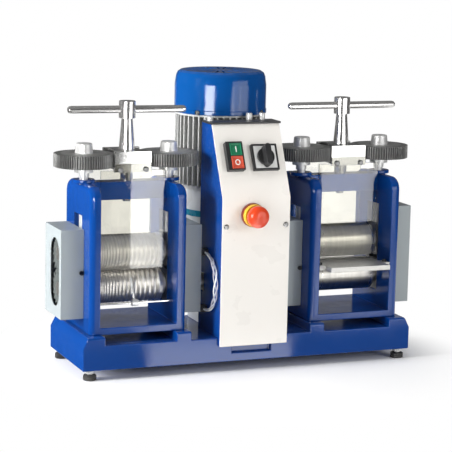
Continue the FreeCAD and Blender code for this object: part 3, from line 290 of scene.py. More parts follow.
def addReflections():
    eye = Vector(view["place"])
    for name, (first, last, depth, near, far, strength) in strips.items():
        mirrored = 2 * depth - eye.y
        corners = []
        for out in (near, far):
            for end in (first, last):
                share = (out - mirrored) / (depth - mirrored)
                corners.append((eye.x + (end - eye.x) * share, out, 0.0006))
        addCard(name, corners, strength, throughSheet)
        if far < -0.9:
            low = [(x, y, uprights.get(name, 0.0)) for x, y, z in corners[2:]]
            addCard(name + "Upright", (*low, *((x, y, 0.45) for x, y, z in low)), strength, throughSheet)
    for cards in (flags, softboxes):
        for name, (left, right, low, high, strength) in cards.items():
            standCard(name, left, right, low, high, strength)
    addCard("ceilingFlag", ((-1.9, -1.9, 1.7), (1.9, -1.9, 1.7), (-1.9, 1.9, 1.7), (1.9, 1.9, 1.7)), 0.16)
    for name, (left, right, front, back, strength) in floorFlags.items():
        addCard(name, ((left, front, 0.0004), (right, front, 0.0004), (left, back, 0.0004),
                       (right, back, 0.0004)), strength)


bpy.context.scene.view_settings.view_transform = "Standard"
addCamera()
addStudio()
addReflections()
print("camera, floor and lamps stand")


# ---- effects that several finishes share ----
def newGroup(name, inputs, outputs):
    tree = bpy.data.node_groups.new(name, "ShaderNodeTree")
    for label, kind, value in inputs:
        socket = tree.interface.new_socket(label, in_out="INPUT", socket_type=kind)
        if value is not None:
            socket.default_value = value
    for label, kind in outputs:
        tree.interface.new_socket(label, in_out="OUTPUT", socket_type=kind)
    return tree, addNode(tree, "NodeGroupInput").outputs, addNode(tree, "NodeGroupOutput").inputs


number, colour, direction = "NodeSocketFloat", "NodeSocketColor", "NodeSocketVector"


def addNoise(tree, vector, scale, detail=2.0, rough=0.5):
    return addNode(tree, "ShaderNodeTexNoise", {}, {"Vector": vector, "Scale": scale, "Detail": detail,
                                                   "Roughness": rough}).outputs["Fac"]


def paintSkinGroup():
    # sprayed enamel: slow shade, brush-free waves, orange peel, rubbed edges and settled dust
    tree, given, made = newGroup(
        "paintSkin",
        [("Color", colour, None), ("Shade", number, 0.05), ("Gloss", number, 0.2), ("Waves", number, 30.0),
         ("Peel", number, 600.0), ("Rub", number, 0.3), ("Under", colour, (0.3, 0.3, 0.3, 1)),
         ("Dust", number, 0.1)],
        [("Color", colour), ("Roughness", number), ("Height", number)])
    place = addNode(tree, "ShaderNodeTexCoord").outputs["Object"]
    shape = addNode(tree, "ShaderNodeNewGeometry").outputs
    slow = addNoise(tree, place, 7.0, 3.0)
    shade = addMath(tree, "MULTIPLY", addMath(tree, "SUBTRACT", slow, 0.5), given["Shade"])
    tint = addNode(tree, "ShaderNodeHueSaturation", {}, {
        "Value": addMath(tree, "ADD", addMath(tree, "MULTIPLY", shade, 2.0), 1.0), "Color": given["Color"]})
    edge = addRange(tree, shape["Pointiness"], 0.54, 0.62)
    broken = addRange(tree, addNoise(tree, place, 90.0, 4.0, 0.65), 0.5, 0.62)
    rubbed = addMath(tree, "MULTIPLY", addMath(tree, "MULTIPLY", edge, broken), given["Rub"])
    bare = addMix(tree, rubbed, tint.outputs["Color"], given["Under"])
    tree.links.new(given["Under"], bare.node.inputs[7])
    upward = addRange(tree, addNode(tree, "ShaderNodeSeparateXYZ", {}, {0: shape["Normal"]}).outputs["Z"],
                      0.6, 1.0)
    lying = addRange(tree, addNoise(tree, place, 40.0, 5.0, 0.6), 0.42, 0.68)
    dust = addMath(tree, "MULTIPLY", addMath(tree, "MULTIPLY", upward, lying), given["Dust"])
    dusty = addMix(tree, dust, bare, (0.62, 0.6, 0.56))
    smear = addRange(tree, addNoise(tree, place, 22.0, 3.0), 0.3, 0.7, -0.05, 0.07)
    rough = addMath(tree, "ADD", addMath(tree, "ADD", given["Gloss"], smear),
                    addMath(tree, "MULTIPLY", dust, 0.5), True)
    waves = addMath(tree, "MULTIPLY", addNoise(tree, place, given["Waves"], 2.0), 0.75)
    peel = addMath(tree, "MULTIPLY", addNoise(tree, place, given["Peel"], 1.0), 0.25)
    tree.links.new(dusty, made["Color"])
    tree.links.new(rough, made["Roughness"])
    tree.links.new(addMath(tree, "ADD", waves, peel), made["Height"])
    return tree


def toolMarksGroup():
    # rings left by the lathe, counted along one axis
    tree, given, made = newGroup("toolMarks", [("Along", number, 0.0), ("Pitch", number, 1500.0)],
                                 [("Height", number), ("Tone", number)])
    fine = addNode(tree, "ShaderNodeTexNoise", {"noise_dimensions": "1D"}, {
        "W": given["Along"], "Scale": given["Pitch"], "Detail": 2.0}).outputs["Fac"]
    broad = addNode(tree, "ShaderNodeTexNoise", {"noise_dimensions": "1D"}, {
        "W": given["Along"], "Scale": addMath(tree, "MULTIPLY", given["Pitch"], 0.08), "Detail": 3.0})
    tree.links.new(addMath(tree, "ADD", addMath(tree, "MULTIPLY", fine, 0.7),
                           addMath(tree, "MULTIPLY", broad.outputs["Fac"], 0.3)), made["Height"])
    tree.links.new(addRange(tree, broad.outputs["Fac"], 0.3, 0.7), made["Tone"])
    return tree


def groundGrainGroup():
    # straight grinding or brushing lines: the vector is squeezed along the lines
    tree, given, made = newGroup("groundGrain", [("Squeeze", direction, (1, 1, 1)), ("Scale", number, 400.0)],
                                 [("Height", number), ("Tone", number)])
    place = addNode(tree, "ShaderNodeTexCoord").outputs["Object"]
    pressed = addNode(tree, "ShaderNodeVectorMath", {"operation": "MULTIPLY"},
                      {0: place, 1: given["Squeeze"]}).outputs["Vector"]
    lines = addNoise(tree, pressed, given["Scale"], 3.0, 0.6)
    tree.links.new(lines, made["Height"])
    tree.links.new(addRange(tree, lines, 0.35, 0.65), made["Tone"])
    return tree


def oilAndCornerShadeGroup():
    # painted shade: an occlusion mask darkens corners and roots, and a few noise drops of dark oil lie on open faces
    tree, given, made = newGroup("oilAndCornerShade", [("Amount", number, 0.5), ("Reach", number, 0.004)],
                                 [("Mask", number)])
    place = addNode(tree, "ShaderNodeTexCoord").outputs["Object"]
    shut = addNode(tree, "ShaderNodeAmbientOcclusion", {"samples": 4, "only_local": True},
                   {"Distance": given["Reach"]}).outputs["AO"]
    corner = addRange(tree, shut, 0.85, 0.35)
    patch = addRange(tree, addNoise(tree, place, 55.0, 4.0, 0.6), 0.35, 0.75)
    both = addMath(tree, "ADD", addMath(tree, "MULTIPLY", corner, 0.8), addMath(tree, "MULTIPLY", patch, 0.25))
    tree.links.new(addMath(tree, "MULTIPLY", both, given["Amount"], True), made["Mask"])
    return tree


def mouldGrainGroup():
    # fine spark-eroded grain of moulded plastic, with handled patches
    tree, given, made = newGroup("mouldGrain", [("Scale", number, 1200.0)],
                                 [("Height", number), ("Handled", number)])
    place = addNode(tree, "ShaderNodeTexCoord").outputs["Object"]
    cells = addNode(tree, "ShaderNodeTexVoronoi", {"feature": "SMOOTH_F1"}, {
        "Vector": place, "Scale": given["Scale"], "Smoothness": 0.6}).outputs["Distance"]
    tree.links.new(cells, made["Height"])
    tree.links.new(addRange(tree, addNoise(tree, place, 60.0, 3.0), 0.4, 0.65), made["Handled"])
    return tree


groups = {"paintSkin": paintSkinGroup(), "toolMarks": toolMarksGroup(), "groundGrain": groundGrainGroup(),
          "oilAndCornerShade": oilAndCornerShadeGroup(), "mouldGrain": mouldGrainGroup()}
print("effect groups made")


# ---- finishes, one for each material slot ----
finishes = {}


def newFinish(name):
    material = bpy.data.materials.new(name)
    material.use_nodes = True
    finishes[name] = material
    tree = material.node_tree
    return tree, next(node for node in tree.nodes if node.type == "BSDF_PRINCIPLED")


def addGroup(tree, name, inputs=None):
    return addNode(tree, "ShaderNodeGroup", {"node_tree": groups[name]}, inputs).outputs


def addBump(tree, shader, height, depth, strength=1.0):
    bump = addNode(tree, "ShaderNodeBump", {}, {"Height": height, "Distance": depth, "Strength": strength})
    tree.links.new(bump.outputs["Normal"], shader.inputs["Normal"])


paints = {
    "blue_cast": {"color": (0.0022, 0.044, 0.225), "gloss": 0.10, "shade": 0.10, "waves": 26.0, "peel": 520.0,
                  "depth": 0.0005, "rub": 0.35, "under": (0.10, 0.16, 0.30), "dust": 0.05, "coat": 0.0},
    "blue_sheet": {"color": (0.0025, 0.046, 0.235), "gloss": 0.15, "shade": 0.06, "waves": 14.0, "peel": 700.0,
                   "depth": 0.0002, "rub": 0.3, "under": (0.10, 0.16, 0.30), "dust": 0.05, "coat": 0.0},
    "cowl_blue": {"color": (0.002, 0.060, 0.24), "gloss": 0.10, "shade": 0.06, "waves": 12.0, "peel": 700.0,
                  "depth": 0.0002, "rub": 0.25, "under": (0.10, 0.20, 0.36), "dust": 0.07, "coat": 0.0},
    "cream_panel": {"color": (0.85, 0.82, 0.77), "gloss": 0.30, "shade": 0.02, "waves": 16.0, "peel": 900.0,
                    "depth": 0.00012, "rub": 0.0, "under": (0.5, 0.49, 0.45), "dust": 0.0, "coat": 0.1},
    "dark_lid": {"color": (0.022, 0.022, 0.024), "gloss": 0.4, "shade": 0.10, "waves": 30.0, "peel": 900.0,
                 "depth": 0.00015, "rub": 0.5, "under": (0.12, 0.12, 0.12), "dust": 0.12, "coat": 0.0},
    "grey_cover": {"color": (0.32, 0.355, 0.365), "gloss": 0.33, "shade": 0.05, "waves": 18.0, "peel": 800.0,
                   "depth": 0.00015, "rub": 0.4, "under": (0.33, 0.34, 0.34), "dust": 0.08, "coat": 0.1},
    "column_grey": {"color": (0.64, 0.66, 0.67), "gloss": 0.3, "shade": 0.05, "waves": 22.0, "peel": 700.0,
                    "depth": 0.0002, "rub": 0.2, "under": (0.4, 0.4, 0.4), "dust": 0.05, "coat": 0.1},
    "band_teal": {"color": (0.014, 0.21, 0.32), "gloss": 0.25, "shade": 0.05, "waves": 20.0, "peel": 700.0,
                  "depth": 0.0001, "rub": 0.2, "under": (0.2, 0.25, 0.27), "dust": 0.03, "coat": 0.2},
}


def makePaint(name, look):
    tree, shader = newFinish(name)
    skin = addGroup(tree, "paintSkin", {
        "Color": (*look["color"], 1), "Shade": look["shade"], "Gloss": look["gloss"], "Waves": look["waves"],
        "Peel": look["peel"], "Rub": look["rub"], "Under": (*look["under"], 1), "Dust": look["dust"]})
    tree.links.new(skin["Color"], shader.inputs["Base Color"])
    tree.links.new(skin["Roughness"], shader.inputs["Roughness"])
    shader.inputs["Coat Weight"].default_value = look["coat"]
    shader.inputs["Coat Roughness"].default_value = 0.06
    shader.inputs["IOR"].default_value = 1.48
    addBump(tree, shader, skin["Height"], look["depth"])


# in each metal the oil amount and film tone give painted shade in corners and roots through the occlusion mask,
# besides oil drops on open faces
metals = {
    "guard_white": {"color": (0.84, 0.84, 0.82), "metal": 0.93, "rough": 0.07, "marks": None,
                    "squeeze": (0.6, 8.0, 8.0), "depth": 0.00002, "oilShadeAmount": 0.12, "oilAndShade": (0.45, 0.45, 0.43),
                    "reach": 0.004},
    "wire_roll": {"color": (0.80, 0.775, 0.73), "metal": 0.9, "rough": 0.33, "marks": ("X", 4200.0), "depth": 0.00004,
                  "oilShadeAmount": 0.35, "oilAndShade": (0.06, 0.055, 0.05), "reach": 0.003},
    "plain_roll": {"color": (0.56, 0.545, 0.51), "rough": 0.29, "marks": ("X", 1100.0), "depth": 0.00003,
                   "oilShadeAmount": 0.15, "oilAndShade": (0.14, 0.13, 0.12), "reach": 0.003},
    "handle_chrome": {"color": (0.76, 0.75, 0.735), "metal": 0.86, "rough": 0.17, "marks": ("Z", 900.0),
                      "depth": 0.000012, "oilShadeAmount": 0.12, "oilAndShade": (0.2, 0.2, 0.2), "reach": 0.004},
    "screw_steel": {"color": (0.80, 0.80, 0.79), "metal": 0.5, "rough": 0.40, "marks": ("Z", 1300.0),
                    "depth": 0.00004, "oilShadeAmount": 0.25, "oilAndShade": (0.12, 0.11, 0.10), "reach": 0.004},
    "gear_dark": {"color": (0.20, 0.20, 0.195), "metal": 0.5, "rough": 0.34, "marks": ("Z", 900.0), "depth": 0.00004,
                  "oilShadeAmount": 0.8, "oilAndShade": (0.012, 0.012, 0.012), "reach": 0.0035},
    "gearFace": {"color": (0.42, 0.42, 0.41), "metal": 0.7, "rough": 0.32, "marks": None,
                 "squeeze": (1.0, 1.0, 1.0), "depth": 0.00003, "oilShadeAmount": 0.4, "oilAndShade": (0.10, 0.10, 0.09),
                 "reach": 0.004},
    "gear_cast": {"color": (0.17, 0.19, 0.185), "metal": 0.4, "rough": 0.38, "marks": ("X", 900.0), "depth": 0.00005,
                  "oilShadeAmount": 0.45, "oilAndShade": (0.014, 0.013, 0.012), "reach": 0.008},
    "block_iron": {"color": (0.33, 0.33, 0.325), "rough": 0.42, "marks": None, "squeeze": (12.0, 12.0, 0.6),
                   "depth": 0.00005, "oilShadeAmount": 0.5, "oilAndShade": (0.05, 0.05, 0.045), "reach": 0.006},
    "motor_alloy": {"color": (0.68, 0.685, 0.67), "metal": 0.2, "rough": 0.42, "marks": None,
                    "squeeze": (1.0, 1.0, 1.0), "depth": 0.00012, "oilShadeAmount": 0.7, "oilAndShade": (0.07, 0.07, 0.07), "reach": 0.012},
    "table_steel": {"color": (0.56, 0.555, 0.53), "metal": 0.6, "rough": 0.30, "marks": None,
                    "squeeze": (0.5, 9.0, 9.0), "depth": 0.00004, "oilShadeAmount": 0.2, "oilAndShade": (0.2, 0.19, 0.17), "reach": 0.006},
    "black_screw": {"color": (0.045, 0.045, 0.048), "rough": 0.34, "marks": None, "squeeze": (1.0, 1.0, 1.0),
                    "depth": 0.00003, "oilShadeAmount": 0.4, "oilAndShade": (0.01, 0.01, 0.01), "reach": 0.002},
}


def makeMetal(name, look):
    tree, shader = newFinish(name)
    if look["marks"]:
        axis, pitch = look["marks"]
        place = addNode(tree, "ShaderNodeTexCoord").outputs["Object"]
        along = addNode(tree, "ShaderNodeSeparateXYZ", {}, {0: place}).outputs[axis]
        marks = addGroup(tree, "toolMarks", {"Along": along, "Pitch": pitch})
    else:
        marks = addGroup(tree, "groundGrain", {"Squeeze": look["squeeze"], "Scale": 260.0})
    # painted shade: the film tone darkens corners and roots through the occlusion mask, and oil drops lie on open
    # faces
    oilAndShade = addGroup(tree, "oilAndCornerShade", {"Amount": look["oilShadeAmount"], "Reach": look["reach"]})["Mask"]
    bright = look["color"]
    dull = tuple(value * 0.84 for value in bright)
    tone = addMix(tree, marks["Tone"], dull, bright)
    tree.links.new(addMix(tree, oilAndShade, tone, look["oilAndShade"]), shader.inputs["Base Color"])
    shader.inputs["Metallic"].default_value = look.get("metal", 1.0)
    worn = addRange(tree, marks["Tone"], 0, 1, look["rough"] + 0.05, look["rough"] - 0.02)
    tree.links.new(addMath(tree, "ADD", worn, addMath(tree, "MULTIPLY", oilAndShade, 0.18), True),
                   shader.inputs["Roughness"])
    addBump(tree, shader, marks["Height"], look["depth"])


plastics = {
    "foot_rubber": {"color": (0.028, 0.028, 0.029), "rough": 0.7, "grain": 700.0, "depth": 0.00012,
                    "handled": (0.06, 0.058, 0.055), "coat": 0.0},
    "black_plastic": {"color": (0.018, 0.018, 0.019), "rough": 0.40, "grain": 1500.0, "depth": 0.00005,
                      "handled": (0.028, 0.028, 0.029), "coat": 0.05},
    "green_key": {"color": (0.010, 0.16, 0.075), "rough": 0.34, "grain": 1800.0, "depth": 0.00003,
                  "handled": (0.014, 0.18, 0.085), "coat": 0.2},
    "red_key": {"color": (0.56, 0.070, 0.035), "rough": 0.34, "grain": 1800.0, "depth": 0.00003,
                "handled": (0.58, 0.085, 0.045), "coat": 0.2},
    "dial_white": {"color": (0.78, 0.78, 0.77), "rough": 0.36, "grain": 1500.0, "depth": 0.00003,
                   "handled": (0.73, 0.73, 0.71), "coat": 0.1},
    "stop_yellow": {"color": (0.72, 0.42, 0.025), "rough": 0.34, "grain": 1500.0, "depth": 0.00003,
                    "handled": (0.68, 0.39, 0.03), "coat": 0.2},
    "stop_red": {"color": (0.66, 0.050, 0.010), "rough": 0.3, "grain": 1500.0, "depth": 0.00003,
                 "handled": (0.63, 0.058, 0.014), "coat": 0.3},
    # painted shade: a shaded dark red for the base ring under the yellow stop collar
    "stopCollarShade": {"color": (0.17, 0.016, 0.010), "rough": 0.38, "grain": 1500.0, "depth": 0.00003,
                    "handled": (0.15, 0.018, 0.012), "coat": 0.1},
    "fan_plastic": {"color": (0.04, 0.04, 0.042), "rough": 0.5, "grain": 900.0, "depth": 0.00006,
                    "handled": (0.07, 0.07, 0.07), "coat": 0.0},
    "conduit_grey": {"color": (0.36, 0.36, 0.43), "rough": 0.36, "grain": 1500.0, "depth": 0.00003,
                     "handled": (0.46, 0.46, 0.5), "coat": 0.1},
    "signWhite": {"color": (0.82, 0.83, 0.80), "rough": 0.4, "grain": 1800.0, "depth": 0.00002,
                  "handled": (0.77, 0.78, 0.74), "coat": 0.0},
}


def makePlastic(name, look):
    tree, shader = newFinish(name)
    grain = addGroup(tree, "mouldGrain", {"Scale": look["grain"]})
    tree.links.new(addMix(tree, grain["Handled"], look["color"], look["handled"]), shader.inputs["Base Color"])
    tree.links.new(addRange(tree, grain["Handled"], 0, 1, look["rough"], look["rough"] + 0.08),
                   shader.inputs["Roughness"])
    shader.inputs["Coat Weight"].default_value = look["coat"]
    addBump(tree, shader, grain["Height"], look["depth"])


clearSheet = {"color": (0.925, 0.915, 0.86), "rough": 0.0, "ior": 1.55}


def makeClear(name, look):
    # clear plastic sheet with a faint film of fingerprints
    tree, shader = newFinish(name)
    grain = addGroup(tree, "mouldGrain", {"Scale": 300.0})
    soft = tuple(value * 0.97 for value in look["color"])
    tree.links.new(addMix(tree, grain["Handled"], look["color"], soft), shader.inputs["Base Color"])
    tree.links.new(addRange(tree, grain["Handled"], 0, 1, look["rough"], look["rough"] + 0.04),
                   shader.inputs["Roughness"])
    shader.inputs["IOR"].default_value = look["ior"]
    shader.inputs["Transmission Weight"].default_value = 1.0
    through = addNode(tree, "ShaderNodeBsdfTransparent", {}, {"Color": (0.93, 0.93, 0.95, 1)})
    shadow = addNode(tree, "ShaderNodeLightPath").outputs["Is Shadow Ray"]
    mix = addNode(tree, "ShaderNodeMixShader", {}, {0: shadow, 1: shader.outputs[0], 2: through.outputs[0]})
    out = next(node for node in tree.nodes if node.type == "OUTPUT_MATERIAL")
    tree.links.new(mix.outputs[0], out.inputs["Surface"])


for name, look in paints.items():
    makePaint(name, look)
for name, look in metals.items():
    makeMetal(name, look)
for name, look in plastics.items():
    makePlastic(name, look)
makeClear("clear_shield", clearSheet)
print("finishes mixed:", len(finishes))


# ---- softened copies: castings, sheets, gears and turned parts get real edges ----
edgeWidths = {
    "plinth": 2.2, "left_stand": 1.6, "right_stand": 1.6, "lower_chocks": 0.6, "left_upper_chocks": 0.6,
    "right_upper_chocks": 0.6, "console_walls": 0.6, "console_lid": 1.0,
    "gearbox": 1.2, "column": 1.0, "column_band": 0.3, "motor": 0.5, "cowl": 0.8, "motor_fan": 0.5,
    "stock_table": 0.8, "guide_rod": 0.3, "wire_guide": 0.5, "conduit_glands": 0.3, "pan_screws": 0.5,
    "socket_screws": 0.3, "switch_box": 1.4, "selector_box": 1.4, "selector_dial": 0.2, "selector_knob": 1.2,
    "left_guard": 1.0, "right_guard": 1.0, "left_shields": 0.5, "right_shields": 0.5,
    "left_inner_cover": 0.7, "left_outer_cover": 0.7, "right_inner_cover": 0.7, "right_outer_cover": 0.7,
    "left_spindle": 0.2, "right_spindle": 0.2, "left_bar": 0.3, "right_bar": 0.3,
    "right_lower_roll": 0.5, "right_upper_roll": 0.5,
}
plainCopies = ("left_lower_roll", "left_upper_roll", "console_panel")
for side in ("left", "right"):
    for level in ("lower", "upper"):
        edgeWidths["%s_%s_gear" % (side, level)] = 0.5
    for hand in ("inner", "outer"):
        edgeWidths["%s_%s_screw" % (side, hand)] = 0.5
        edgeWidths["%s_%s_screw_gear" % (side, hand)] = 0.25


def cleanCopy(node, name, flatten=True):
    # a copy of a node's mesh with its loose triangles joined, and flats made whole faces
    piece = bpy.data.objects.new(name, nodes[node].data.copy())
    bpy.context.scene.collection.objects.link(piece)
    startEdit(piece)
    bpy.ops.mesh.customdata_custom_splitnormals_clear()
    bpy.ops.mesh.select_all(action="SELECT")
    bpy.ops.mesh.remove_doubles(threshold=0.00001)
    if flatten:
        bpy.ops.mesh.dissolve_limited(angle_limit=math.radians(0.5), delimit=set())
    endEdit()
    return piece


# flats with holes in them stay triangles, because a bevel closes the holes of joined ones
holedNodes = ("switch_box", "motor_fan", "cowl", "conduit_glands", "left_spindle", "right_spindle",
              "left_inner_screw_gear", "left_outer_screw_gear", "right_inner_screw_gear",
              "right_outer_screw_gear")
seatGap = {"left_guard": (1, 0.996, 1), "right_guard": (1, 0.996, 1)}
ownFinish = {"pan_screws": "block_iron"}


def softCopy(node, segments=2):
    piece = cleanCopy(node, node + "_body", node not in holedNodes)
    piece.scale = seatGap.get(node, (1, 1, 1))
    settle(piece)
    addBevel(piece, edgeWidths[node] * mm, segments, 32, clamp=False)
    smooth(piece, 34)
    keepFlats(piece)
    return dress(piece, bodyOf[node], slotOf[node], node, finish=ownFinish.get(node))


for node in edgeWidths:
    softCopy(node, 3 if edgeWidths[node] > 1.1 else 2)
for node in plainCopies:
    dress(smooth(cleanCopy(node, node + "_body", False), 28), bodyOf[node], slotOf[node], node)
print("softened copies made:", len(edgeWidths))


# ---- new pieces ----
def settleAt(piece, place=(0, 0, 0), lean=(0, 0, 0)):
    piece.location = place
    piece.rotation_euler = lean
    return settle(piece)


def turn(name, outline, steps=48, place=(0, 0, 0), lean=(0, 0, 0)):
    # a turned piece: its half outline, radius then height in mm, is drawn point by point and spun
    bpy.ops.object.select_all(action="DESELECT")
    bpy.ops.mesh.primitive_plane_add(size=0.001)
    piece = bpy.context.object
    piece.name = name
    startEdit(piece)
    bpy.ops.mesh.select_mode(type="VERT")
    bpy.ops.mesh.select_all(action="SELECT")
    bpy.ops.mesh.merge(type="CENTER")
    last = (0, 0)
    for index, (radius, height) in enumerate(outline):
        step = ((radius - last[0]) * mm, 0, (height - last[1]) * mm)
        if index:
            bpy.ops.mesh.extrude_vertices_move(TRANSFORM_OT_translate={"value": step})
        else:
            bpy.ops.transform.translate(value=step)
        last = (radius, height)
    bpy.ops.mesh.select_all(action="SELECT")
    bpy.ops.mesh.spin(steps=steps, angle=math.tau, center=(0, 0, 0), axis=(0, 0, 1))
    bpy.ops.mesh.select_all(action="SELECT")
    bpy.ops.mesh.remove_doubles(threshold=0.000005)
    bpy.ops.mesh.normals_make_consistent(inside=False)
    endEdit()
    smooth(piece, 32)
    return settleAt(piece, place, lean)


def block(name, size, place=(0, 0, 0), lean=(0, 0, 0), edge=0.0):
    # a milled or moulded block, its size in mm, with softened edges
    bpy.ops.object.select_all(action="DESELECT")
    bpy.ops.mesh.primitive_cube_add(size=1)
    piece = bpy.context.object
    piece.name = name
    piece.scale = tuple(value * mm for value in size)
    settle(piece)
    if edge:
        addBevel(piece, edge * mm, 3)
        smooth(piece, 34)
        keepFlats(piece)
    return settleAt(piece, place, lean)


feetLook = {"pad": ((0, 0), (11.4, 0), (12.4, 0.8), (12.4, 4.6), (11.9, 5.2), (12.4, 5.8), (12.4, 8.6),
                    (11.2, 10.0), (6.5, 10.6), (0, 10.6)),
            "stem": ((0, 10.2), (5.2, 10.2), (5.2, 19.0), (0, 19.0)),
            "places": ((-315, -85), (315, -85), (-315, 97), (315, 97)), "nut": (9.2, 12.2, 19.0)}


def makeFeet():
    # levelling feet: a grooved rubber pad, a threaded stem and a hexagon lock nut
    for index, (x, y) in enumerate(feetLook["places"]):
        spot = (x * mm, y * mm, 0)
        dress(turn("footPad_%d" % index, feetLook["pad"], 40, spot), "machine", "foot_rubber", "feet")
        dress(turn("footStem_%d" % index, feetLook["stem"], 24, spot), "machine", "foot_rubber", "feet",
              finish="screw_steel")
        radius, low, high = feetLook["nut"]
        bpy.ops.object.select_all(action="DESELECT")
        bpy.ops.mesh.primitive_cylinder_add(vertices=6, radius=radius * mm, depth=(high - low) * mm)
        nut = bpy.context.object
        nut.name = "footNut_%d" % index
        addBevel(nut, 0.7 * mm, 2)
        smooth(nut, 40)
        settleAt(nut, (x * mm, y * mm, (high + low) / 2 * mm), (0, 0, 0.2 + index))
        dress(nut, "machine", "foot_rubber", "feet", finish="screw_steel")


leanAngle = math.radians(64.345)


def panelSpot(across, up, off):
    # a point on the leaning part of the front panel: across it, up its slope and off its face, in mm
    return (across * mm, (-108.4 + 0.432953 * up - 0.901416 * off) * mm,
            (330 + 0.901416 * up + 0.432953 * off) * mm)


keyLook = {"wide": 22.8, "tall": 23.8, "deep": 4.4, "rim": 2.0, "dish": 0.9, "edge": 0.55, "low": 9.0,
           "across": -32.5, "sign": 0.5}


def makeKey(name, body, slot, up):
    # a rocker key with a dished face
    piece = block(name, (keyLook["wide"], keyLook["tall"], keyLook["deep"]))
    startEdit(piece)
    pick(piece, "faces", lambda face: face.normal.z > 0.9)
    bpy.ops.mesh.inset(thickness=keyLook["rim"] * mm)
    bpy.ops.mesh.extrude_region_move(TRANSFORM_OT_translate={"value": (0, 0, -keyLook["dish"] * mm)})
    bpy.ops.transform.resize(value=(0.9, 0.9, 1))
    endEdit()
    addBevel(piece, keyLook["edge"] * mm, 3, 12)
    smooth(piece, 34)
    keepFlats(piece)
    settleAt(piece, panelSpot(keyLook["across"], up, keyLook["low"] + keyLook["deep"] / 2),
             (leanAngle, 0, 0))
    return dress(piece, body, slot, name)


def makeSwitch():
    face = keyLook["low"] + keyLook["deep"] - keyLook["dish"]
    makeKey("start_key", "start_button", "green_key", 93)
    makeKey("stop_key", "stop_key_body", "red_key", 67.5)
    stroke = block("startSign", (1.9, 11.5, keyLook["sign"] * 2), panelSpot(keyLook["across"], 93, face),
                   (leanAngle, 0, 0), 0.3)
    dress(stroke, "start_button", "dial_white", finish="signWhite")
    bpy.ops.object.select_all(action="DESELECT")
    bpy.ops.mesh.primitive_torus_add(major_radius=4.3 * mm, minor_radius=0.85 * mm, major_segments=40,
                                     minor_segments=10)
    ring = bpy.context.object
    ring.name = "stopSign"
    ring.scale = (1, 1.1, keyLook["sign"] / 0.85)
    settle(ring)
    smooth(ring, 60)
    settleAt(ring, panelSpot(keyLook["across"], 67.5, face), (leanAngle, 0, 0))
    dress(ring, "stop_key_body", "dial_white", finish="signWhite")


stopLook = {"place": (-8.5, 0, 299), "head": ((0, 110), (8.9, 110), (8.9, 129.6), (16.5, 130.2), (19.6, 131.2),
                                              (20.7, 133.6), (20.7, 139.0), (20.1, 142.2), (18.2, 145.2),
                                              (14.6, 147.7), (9.6, 149.3), (4.6, 149.9), (0, 150)),
            "base": ((11, 108.4), (22.5, 108.4), (22.5, 115.6), (21.9, 116.4), (11, 116.4), (11, 108.4)),
            "ring": ((11, 116.4), (21.2, 116.4), (21.4, 117.2), (21.4, 124.4), (20.4, 126), (16.0, 126),
                     (15.2, 124.6), (11, 124.6), (11, 116.4))}


def makeStop():
    # mushroom head and the two rings under it, turned about the line that the head is pressed along
    spot = tuple(value * mm for value in stopLook["place"])
    lean = (math.pi / 2, 0, 0)
    head = turn("stop_button_head", stopLook["head"], 64, spot, lean)
    dress(smooth(head, 50), "emergency_stop", "stop_red", "stop_button")
    # painted shade: the base ring under the yellow collar takes a shaded dark red instead of the collar's yellow
    base = turn("stop_collar_base", stopLook["base"], 64, spot, lean)
    dress(base, "machine", "stop_yellow", "stop_collar", finish="stopCollarShade")
    ring = turn("stop_collar_ring", stopLook["ring"], 64, spot, lean)
    dress(ring, "machine", "stop_yellow", "stop_collar")


studLook = {"short": ((0, 466), (6.2, 466), (6.2, 473.0), (5.4, 474.0), (0, 474.0)),
            "long": ((0, 466), (5.8, 466), (5.8, 477.4), (5.0, 478.4), (0, 478.4)),
            "places": (("long", 21, -11), ("long", 47, -11), ("short", -60, -14))}


def makeStuds():
    for index, (kind, x, y) in enumerate(studLook["places"]):
        stud = turn("lidStud_%d" % index, studLook[kind], 32, (x * mm, y * mm, 0))
        dress(stud, "machine", "screw_steel")


conduitLook = {"route": ((-40, 219), (-62, 219), (-86, 205.5), (-99, 180), (-100, 152), (-88, 126), (-64, 110),
                         (-40, 110)), "across": -75.5, "strand": 1.35, "bundle": (1.6, 3.6), "turns": 2.2}


def routeLine():
    # the middle line of the bundle, read from its smooth curve
    curve = bpy.data.curves.new("conduitLine", "CURVE")
    curve.dimensions = "3D"
    curve.resolution_u = 12
    line = curve.splines.new("NURBS")
    line.points.add(len(conduitLook["route"]) - 1)
    for point, (y, z) in zip(line.points, conduitLook["route"]):
        point.co = (conduitLook["across"] * mm, y * mm, z * mm, 1)
    line.order_u = 3
    line.use_endpoint_u = True
    holder = bpy.data.objects.new("conduitLine", curve)
    bpy.context.scene.collection.objects.link(holder)
    bpy.context.view_layer.update()
    spots = [corner.co.copy() for corner in bpy.data.meshes.new_from_object(holder).vertices]
    bpy.data.objects.remove(holder)
    return spots


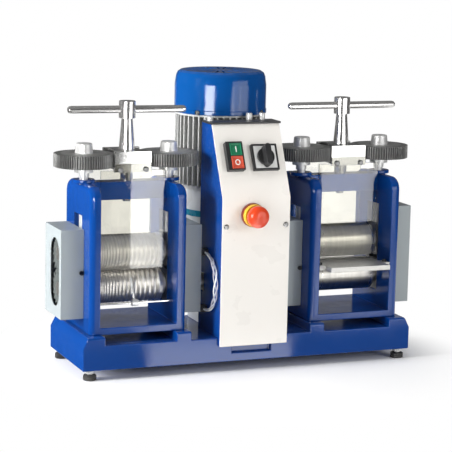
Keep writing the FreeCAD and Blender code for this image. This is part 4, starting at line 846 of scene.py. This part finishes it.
def makeConduit():
    # three insulated leads twisted together between the glands
    spots = routeLine()
    for lead in range(3):
        curve = bpy.data.curves.new("lead", "CURVE")
        curve.dimensions = "3D"
        curve.bevel_depth = conduitLook["strand"] * mm
        curve.bevel_resolution = 4
        curve.use_fill_caps = True
        line = curve.splines.new("NURBS")
        line.points.add(len(spots) - 1)
        for index, spot in enumerate(spots):
            ahead = spots[min(index + 1, len(spots) - 1)] - spots[max(index - 1, 0)]
            side = ahead.normalized().cross(Vector((1, 0, 0)))
            share = index / (len(spots) - 1)
            angle = math.tau * (conduitLook["turns"] * share + lead / 3)
            tight, loose = conduitLook["bundle"]
            apart = tight + (loose - tight) * math.sin(math.pi * share) ** 2
            off = (Vector((1, 0, 0)) * math.cos(angle) + side * math.sin(angle)) * apart * mm
            line.points[index].co = (*(spot + off), 1)
        line.order_u = 3
        line.use_endpoint_u = True
        piece = bpy.data.objects.new("conduitLead_%d" % lead, curve)
        bpy.context.scene.collection.objects.link(piece)
        activate(piece)
        bpy.ops.object.convert(target="MESH")
        piece = bpy.context.object
        smooth(piece, 60)
        dress(piece, bodyOf["conduit"], "conduit_grey", "conduit",
              finish="signWhite" if lead == 1 else "conduit_grey")


faceLook = {"ring": ((17.5, 409.0), (43, 409.0), (43.6, 409.35), (43.0, 409.7), (18.2, 409.7), (17.5, 409.35),
                     (17.5, 409.0)), "lift": {"left": 0.0, "right": 1.6}}


def makeGearFaces():
    # machined ring on the top face of each screw gear
    for side in ("left", "right"):
        for hand in ("inner", "outer"):
            low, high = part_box("%s_%s_screw_gear" % (side, hand))
            spot = ((low[0] + high[0]) / 2, (low[1] + high[1]) / 2, faceLook["lift"][side] * mm)
            ring = turn("%s_%s_gear_face" % (side, hand), faceLook["ring"], 64, spot)
            dress(ring, bodyOf["%s_%s_screw_gear" % (side, hand)], "screw_steel", finish="gearFace")


makeFeet()
makeSwitch()
makeStop()
makeStuds()
makeConduit()
makeGearFaces()
print("new pieces made")
for node in nodes:
    if not nodes[node].hide_render:
        nodes[node].data.materials.clear()
        nodes[node].data.materials.append(finishes[slotOf[node]])
